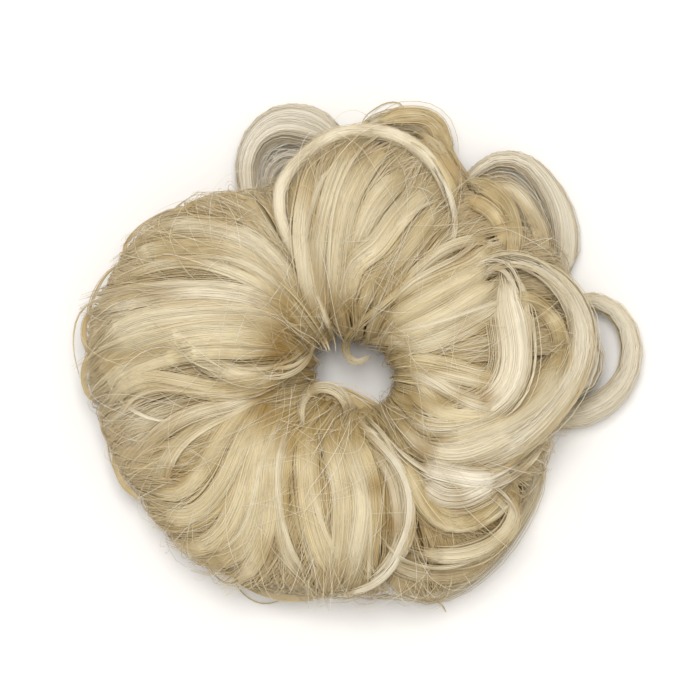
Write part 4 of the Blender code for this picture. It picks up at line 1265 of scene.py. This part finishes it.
def crossing_hairs(count):
    """Single hairs that run over several locks."""
    t = run_of(WISP_RINGS)
    start = between(-10, 110, count)
    end = start + between(35, 110, count)
    turn = np.minimum(mixed(start, end, t), 190.0)
    place = anywhere(count)
    place = place + (scatter(1.3, count) * t + scatter(0.5, count) * arch(t))
    off = between(0.3, 1.4, count) + stray(0.7, count) * arch(t)
    paths = off_body(place, turn, roof(place, turn) + off)
    return single_hairs(paths, RANDOM.normal(0.4, 0.5, count), body_normal(place, turn), size=0.6)


def frizz(count):
    """Fine short hairs that curl every way over the locks."""
    t = run_of(FRIZZ_RINGS)
    place = RANDOM.uniform(0, COUNT, count)
    start = body_point(place, RANDOM.uniform(-5, 130, count))[:, None, :2]
    bearing = between(0, 2 * math.pi, count) + scatter(0.8, count) * t
    step = between(6, 26, count) / FRIZZ_RINGS
    steps = np.stack([np.cos(bearing) * step, np.sin(bearing) * step], axis=-1)
    plan = start + np.cumsum(steps, axis=1)
    lift = between(1.6, 3.4, count) + between(0, 1.6, count) * arch(t)
    tops = heights_below(plan)
    paths = at_height(plan, tops + lift)[tops.min(axis=1) > FRIZZ_LOWEST]
    return single_hairs(paths, RANDOM.normal(0.4, 0.5, len(paths)), UPWARD, size=0.40)


def outline_hairs(count):
    """Single hairs that spring off the outside and curve back."""
    t = run_of(WISP_RINGS)
    start = between(90, 140, count)
    turn = start + between(30, 75, count) * t
    place = anywhere(count) + scatter(0.9, count) * t
    spring = stray(1.1, count).clip(0, 5) * np.sin(0.75 * math.pi * t)
    paths = off_body(place, turn, roof(place, turn) + spring + 0.3)
    paths[..., 2] = np.maximum(paths[..., 2], 0.4)
    return single_hairs(paths, RANDOM.normal(0.3, 0.4, count), UPWARD, size=0.55)


def outline_arcs(count):
    """Strands that run along the outside, where the locks' ends turn in."""
    t = run_of(WISP_RINGS)
    place = anywhere(count)
    place = place + between(0.5, 2.0, count) * RANDOM.choice([-1.0, 1.0], (count, 1)) * t
    low = WRAP_TURNS[np.floor(place).astype(int) % COUNT].min(axis=1, keepdims=True)
    start = low - between(28, 80, count)
    turn = start + (low - 4 - start) * np.sin(0.5 * math.pi * t) + scatter(3, count) * arch(t)
    lift = roof(place, np.minimum(turn, low)) * 0.9 + between(0.1, 0.9, count)
    tones = RANDOM.normal(-0.05, 0.25, count)
    radii = strand_radii(count, WISP_RINGS, size=0.9)
    tints = strand_tints(tones, np.broadcast_to(t, place.shape), 0.0)
    return strand_mesh(off_body(place, turn, lift), radii, tints)


def rim_hairs(count):
    """Short hairs that stand out from the rim into the hole and hook back."""
    t = run_of(WISP_RINGS)
    place = anywhere(count)
    turn = mixed(between(15, 50, count), between(-60, -25, count), t)
    place = place + scatter(1.2, count) * t ** 2
    lift = 1.5 + stray(1.1, count) * np.sin(0.8 * math.pi * t)
    paths = off_body(place, turn, lift)
    return single_hairs(paths, RANDOM.normal(0.0, 0.3, count), UPWARD, size=0.6)


def wall_strands(count):
    """Strands wound along the outside of the sewn base."""
    tree = tree_of(["sewn_base"])
    centre = np.array(RING_CENTRE) + SHIFT[:2]
    t = run_of(WISP_RINGS)
    bearings = between(0, 2 * math.pi, count) + between(0.2, 0.6, count) * t
    heights = between(0.8, 12.5, count) + scatter(1.4, count) * (t - 0.5)
    heights = np.clip(heights, 0.6, 13.0)
    outward = np.stack([np.cos(bearings), np.sin(bearings)], axis=-1)
    reach = np.zeros(bearings.shape)
    for i, k in np.ndindex(reach.shape):
        way = Vector((*outward[i, k], 0.0))
        start = Vector((*centre, heights[i, k])) + way * 100.0
        reach[i, k] = (tree.ray_cast(start, -way)[0].xy - Vector(centre)).length
    reach = reach + 0.05 + 0.5 * RANDOM.random((count, 1)) * arch(t)
    paths = at_height(centre + outward * reach[..., None] - SHIFT[:2], heights)
    facing = at_height(outward, np.zeros(reach.shape))
    return single_hairs(paths, RANDOM.normal(-0.45, 0.3, count), facing, size=1.6)


def rim_wraps(count):
    """Strands that run round the rim of the hole, over the locks' roots."""
    t = run_of(WISP_RINGS)
    place = anywhere(count) + between(1.0, 4.5, count) * t
    turn = between(-45, 25, count) + scatter(22, count) * (t - 0.5)
    turn = turn + between(-25, 25, count) * arch(t)
    lift = roof(place, turn) + between(-0.2, 0.6, count) + stray(0.4, count) * arch(t)
    paths = off_body(place, turn, lift)
    return single_hairs(paths, RANDOM.normal(-0.2, 0.4, count), body_normal(place, turn), size=0.8)


# Materials

def set_inputs(node, values):
    for name, value in values.items():
        node.inputs[name].default_value = value


def shader_of(name, values):
    """A material with values on its shader: itself, its tree of nodes and the shader."""
    made = bpy.data.materials.new(name)
    made.use_nodes = True
    shader = made.node_tree.nodes["Principled BSDF"]
    set_inputs(shader, values)
    return made, made.node_tree, shader


def add_node(tree, kind, values=None, **settings):
    node = tree.nodes.new("ShaderNode" + kind)
    for name, value in settings.items():
        setattr(node, name, value)
    set_inputs(node, values or {})
    return node


def link(tree, *links):
    """Links nodes, each link as a node, its output, the next node and its input."""
    for source, output, target, entry in links:
        tree.links.new(source.outputs[output], target.inputs[entry])


def add_ramp(tree, *stops):
    """A ramp of two colours, each stop with its position."""
    ramp = add_node(tree, "ValToRGB")
    for element, (position, colour) in zip(ramp.color_ramp.elements, stops):
        element.position = position
        element.color = (*colour, 1.0)
    return ramp


def hair_finish(name):
    """Satin hair: the strands' tint, with its painted shade and light, streaked along their length."""
    made, tree, shader = shader_of(name, {"Roughness": 0.42, "Specular IOR Level": 0.45})
    tint = add_node(tree, "Attribute", attribute_name="tint")
    places = add_node(tree, "UVMap", uv_map="OFBake")
    stretch = add_node(tree, "Mapping", {"Scale": (420.0, 3.0, 1.0)})
    streaks = add_node(tree, "TexNoise", {"Scale": 1.0, "Detail": 3.0})
    ramp = add_node(tree, "MapRange", {"From Min": 0.3, "From Max": 0.7, "To Min": 0.91, "To Max": 1.08})
    shade = add_node(tree, "VectorMath", operation="SCALE")
    bump = add_node(tree, "Bump", {"Strength": 0.25, "Distance": 0.0002})
    link(
        tree,
        (places, "UV", stretch, "Vector"),
        (stretch, "Vector", streaks, "Vector"),
        (streaks, "Fac", ramp, "Value"),
        (tint, "Color", shade, 0),
        (ramp, "Result", shade, "Scale"),
        (shade, "Vector", shader, "Base Color"),
        (streaks, "Fac", bump, "Height"),
        (bump, "Normal", shader, "Normal"),
    )
    return made


def sewn_finish(name):
    """Dense sewn hair: dark gold, with fine tangled threads."""
    made, tree, shader = shader_of(name, {"Roughness": 0.6})
    places = add_node(tree, "TexCoord")
    threads = add_node(tree, "TexNoise", {"Scale": 900.0, "Detail": 6.0, "Distortion": 2.5})
    patches = add_node(tree, "TexNoise", {"Scale": 120.0})
    ramp = add_ramp(tree, (0.32, (0.30, 0.17, 0.055)), (0.68, (0.66, 0.47, 0.21)))
    shade = add_node(tree, "MapRange", {"To Min": 0.75, "To Max": 1.15})
    both = add_node(tree, "VectorMath", operation="SCALE")
    bump = add_node(tree, "Bump", {"Strength": 0.7, "Distance": 0.0006})
    link(
        tree,
        (places, "Object", threads, "Vector"),
        (places, "Object", patches, "Vector"),
        (threads, "Fac", ramp, "Fac"),
        (patches, "Fac", shade, "Value"),
        (ramp, "Color", both, 0),
        (shade, "Result", both, "Scale"),
        (both, "Vector", shader, "Base Color"),
        (threads, "Fac", bump, "Height"),
        (bump, "Normal", shader, "Normal"),
    )
    return made


def elastic_finish(name):
    """Woven elastic: fine ribs all over."""
    made, tree, shader = shader_of(name, {"Roughness": 0.8})
    places = add_node(tree, "TexCoord")
    weave = add_node(tree, "TexVoronoi", {"Scale": 1400.0})
    ramp = add_ramp(tree, (0.0, (0.52, 0.36, 0.19)), (1.0, (0.30, 0.19, 0.09)))
    bump = add_node(tree, "Bump", {"Distance": 0.0004}, invert=True)
    link(
        tree,
        (places, "Object", weave, "Vector"),
        (weave, "Distance", ramp, "Fac"),
        (ramp, "Color", shader, "Base Color"),
        (weave, "Distance", bump, "Height"),
        (bump, "Normal", shader, "Normal"),
    )
    return made


def repaint(node, finish):
    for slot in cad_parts[node].material_slots:
        slot.material = finish


# The stage, with lengths in metres

WARM_WHITE = (1.0, 0.975, 0.94)
FLOOR_WHITE = (0.93, 0.93, 0.93, 1.0)
FLOOR_SIZE = 6.0
SKY_STRENGTH = 0.71
KEY_POWER = 18.8
KEY_SIZE = 0.7
KEY_PLACE = (-0.06, 0.36, 1.75)
SENSOR_WIDTH = 36.0
CAMERA_DISTANCE = 1.5
FRAME_WIDTH = 0.175
FRAME_MIDDLE = (-3.0, 1.5, GIRTH_HEIGHT)


def make_floor():
    bpy.ops.mesh.primitive_plane_add(size=FLOOR_SIZE)
    floor = bpy.context.active_object
    floor.name = "floor"
    floor.data.materials.append(shader_of("floor_white", {"Base Color": FLOOR_WHITE, "Roughness": 0.9})[0])


def make_lights():
    """A soft sky and one large lamp, a little to the top of the picture."""
    world = bpy.data.worlds.new("studio")
    world.use_nodes = True
    set_inputs(world.node_tree.nodes["Background"], {"Color": (*WARM_WHITE, 1.0), "Strength": SKY_STRENGTH})
    bpy.context.scene.world = world
    key = bpy.data.lights.new("key", "AREA")
    key.energy = KEY_POWER
    key.color = WARM_WHITE
    key.size = KEY_SIZE
    lamp = bpy.data.objects.new("key", key)
    lamp.location = KEY_PLACE
    lamp.rotation_euler = (Vector((0, 0, 0)) - lamp.location).to_track_quat("-Z", "Y").to_euler()
    bpy.context.scene.collection.objects.link(lamp)


def make_camera():
    """Straight above, so that a photo's pixel is a quarter of a millimetre."""
    camera = bpy.data.cameras.new("camera")
    camera.sensor_width = SENSOR_WIDTH
    camera.lens = camera.sensor_width * CAMERA_DISTANCE / FRAME_WIDTH
    eye = bpy.data.objects.new("camera", camera)
    middle = (np.array(FRAME_MIDDLE) + SHIFT) * MM
    eye.location = (middle[0], middle[1], middle[2] + CAMERA_DISTANCE)
    bpy.context.scene.collection.objects.link(eye)
    bpy.context.scene.camera = eye


# The whole piece

# Tones from -1 for dark gold to 1 for pale ash: the locks of each group in their order,
# and the curls and loops
LOCK_TONES = {
    "lock_right": (-0.2, 0.0, 0.1, -0.1, -0.3),
    "lock_crown": (-0.1, 0.0, 0.1, -0.3),
    "lock_left": (-0.1, 0.1, 0.1, -0.2, 0.0, 0.0, 0.0),
    "lock_low_left": (-0.6, -0.7, -0.6),
    "lock_bottom": (-0.3, -0.5, -0.3, -0.4, -0.6),
    "lock_low_right": (-0.7, -0.6, -0.3),
}
BUNDLE_TONES = {
    "curl_right_drop": 0.2, "curl_right_sweep": 0.3, "curl_crown_arch": 0.4, "curl_left": 0.0,
    "curl_bottom": 0.3, "curl_low_right_pale": 0.3, "curl_low_right": 0.2,
    "loop_top_left": 1.0, "loop_top_back": 0.4, "loop_top_right_outer": 0.6,
    "loop_top_right_inner": 0.8, "loop_right": 0.4, "loop_right_inner": 0.7,
    "loop_low_right": 0.3, "loop_bottom": 0.3,
}

# One row for each part of the piece with ribbons: how far they stand off what is below,
# how deep the painted shade of their roots is, a change of their tone, how much longer they are
# than in their table, and whether narrow ones cross them
Region = namedtuple("Region", "name off root_depth tone longer splintered")
REGIONS = [
    Region("crown", 1.1, 0.45, -0.1, 0.0, True),
    Region("left", 1.1, 0.95, 0.0, 4.0, True),
    Region("bottom", 1.1, 0.90, -0.55, 3.0, True),
    Region("right", 1.1, 0.45, -0.1, 0.0, True),
    Region("upper", 1.0, 0.1, 0.1, 0.0, False),
    Region("sweep", 1.0, 0.1, 0.15, 0.0, False),
]

# The locks whose roots take painted shade for longer
SHADED_GROUPS = ("lock_left", "lock_low_left")

# How deep the painted shade of the roots is, and over what share of the strands it runs
SHADED_ROOTS = (0.95, 0.50)
ROOTS_ELSEWHERE = (0.50, 0.28)
CURL_ROOT_SHADE = 0.10
LOOP_ROOT_SHADE = 0.15

# How far the ends of a curl's strands fray, and how much paler a loop's closed form is, as painted light
# against the shade inside the loop
CURL_FRAYED = 0.14
LOOP_CORE_PAINTED_LIGHT = 0.2


def dress_lock(index, row):
    group, number = row.name.rsplit("_", 1)
    tone = LOCK_TONES[group][int(number) - 1]
    wide = math.dist(TIPS[index], TIPS[(index + 1) % COUNT])
    clumps = int(np.clip(round(wide / CLUMP_WIDTH), 2, 4))
    depth, reach = SHADED_ROOTS if group in SHADED_GROUPS else ROOTS_ELSEWHERE
    parts = [lock_core(index, tone), lock_strands(index, tone, LOCK_STRANDS, clumps, depth, reach)]
    one_piece("hair_" + row.name, parts, hair, [row.name])


def dress_bundle(row, parts):
    one_piece("hair_" + row.name, parts, hair, [row.name])


def dress_curl(row):
    tone = BUNDLE_TONES[row.name]
    form = curl_form(row)
    dress_bundle(row, [
        bundle_core(*form, tone, cut=CURL_CUT),
        bundle_strands(form, tone, CURL_STRANDS, CURL_CLUMPS, CURL_ROOT_SHADE, CURL_RINGS, CURL_FRAYED),
    ])


def dress_loop(row):
    tone = BUNDLE_TONES[row.name]
    form = loop_form(row)
    innermost = LOOP_CORE_SHARE ** 2
    dress_bundle(row, [
        # Painted light: the loop's closed form is paler than its strands
        bundle_core(*form, tone + LOOP_CORE_PAINTED_LIGHT, LOOP_CORE_SHARE),
        bundle_strands(
            form, tone, LOOP_STRANDS, LOOP_CLUMPS, LOOP_ROOT_SHADE, CURL_RINGS, innermost=innermost),
        *(veil_strands(veil, form[0]) for veil in VEILS if veil.loop == row.name),
    ])


def ribbon_parts(row, height, root_depth):
    return [ribbon_core(row, height), ribbon_strands(row, height, root_depth)]


def lay_ribbons(region):
    """A region's ribbons, with a narrow one across every second of them where it has those."""
    ribbons, splinters = [], []
    for row in RIBBONS:
        if row.region == region.name:
            height = region.off + RANDOM.uniform(-0.5, 0.7)
            row = row._replace(tone=row.tone + region.tone, path=lengthened(row.path, region.longer))
            ribbons += ribbon_parts(row, height, region.root_depth)
            if region.splintered and len(ribbons) % 4 == 0:
                splinters += ribbon_parts(splinter(row), height + SPLINTER_RISE, region.root_depth)
    one_piece("hair_over_" + region.name, ribbons + splinters, hair)


def lay_wisps(name, rows, frayed, root_depth):
    wisps = []
    for row in rows:
        clumps = max(1, row.strands // WISP_CLUMP)
        form = wisp_form(row)
        wisps.append(bundle_strands(form, row.tone, row.strands, clumps, root_depth, WISP_RINGS, frayed))
    one_piece(name, wisps, hair)


def lay_single_hairs():
    one_piece("wound_hair", [wall_strands(WALL_STRANDS), rim_wraps(RIM_WRAPS)], hair)
    one_piece("outline_arcs", [outline_arcs(OUTLINE_ARCS)], hair)
    one_piece("stray_hairs", [
        crossing_hairs(CROSSING_HAIRS),
        frizz(FRIZZ_HAIRS),
        outline_hairs(OUTLINE_HAIRS),
        rim_hairs(RIM_HAIRS),
    ], hair)


hair = hair_finish("blonde_hair")
repaint("sewn_base", sewn_finish("sewn_hair"))
repaint("elastic_band", elastic_finish("woven_elastic"))
for index, row in enumerate(WRAPS):
    dress_lock(index, row)
for row in CURLS:
    dress_curl(row)
for row in LOOPS:
    dress_loop(row)
for region in REGIONS:
    lay_ribbons(region)
lay_wisps("hair_wisps", WISPS, 0.10, 0.2)
lay_wisps("hair_leads", LEADS, 0.38, 0.0)
lay_single_hairs()
paint_covered_shade([piece for piece in bpy.data.objects if piece.type == "MESH" and "tint" in piece.data.attributes])
make_floor()
make_lights()
make_camera()
bpy.context.scene.view_settings.view_transform = "Standard"
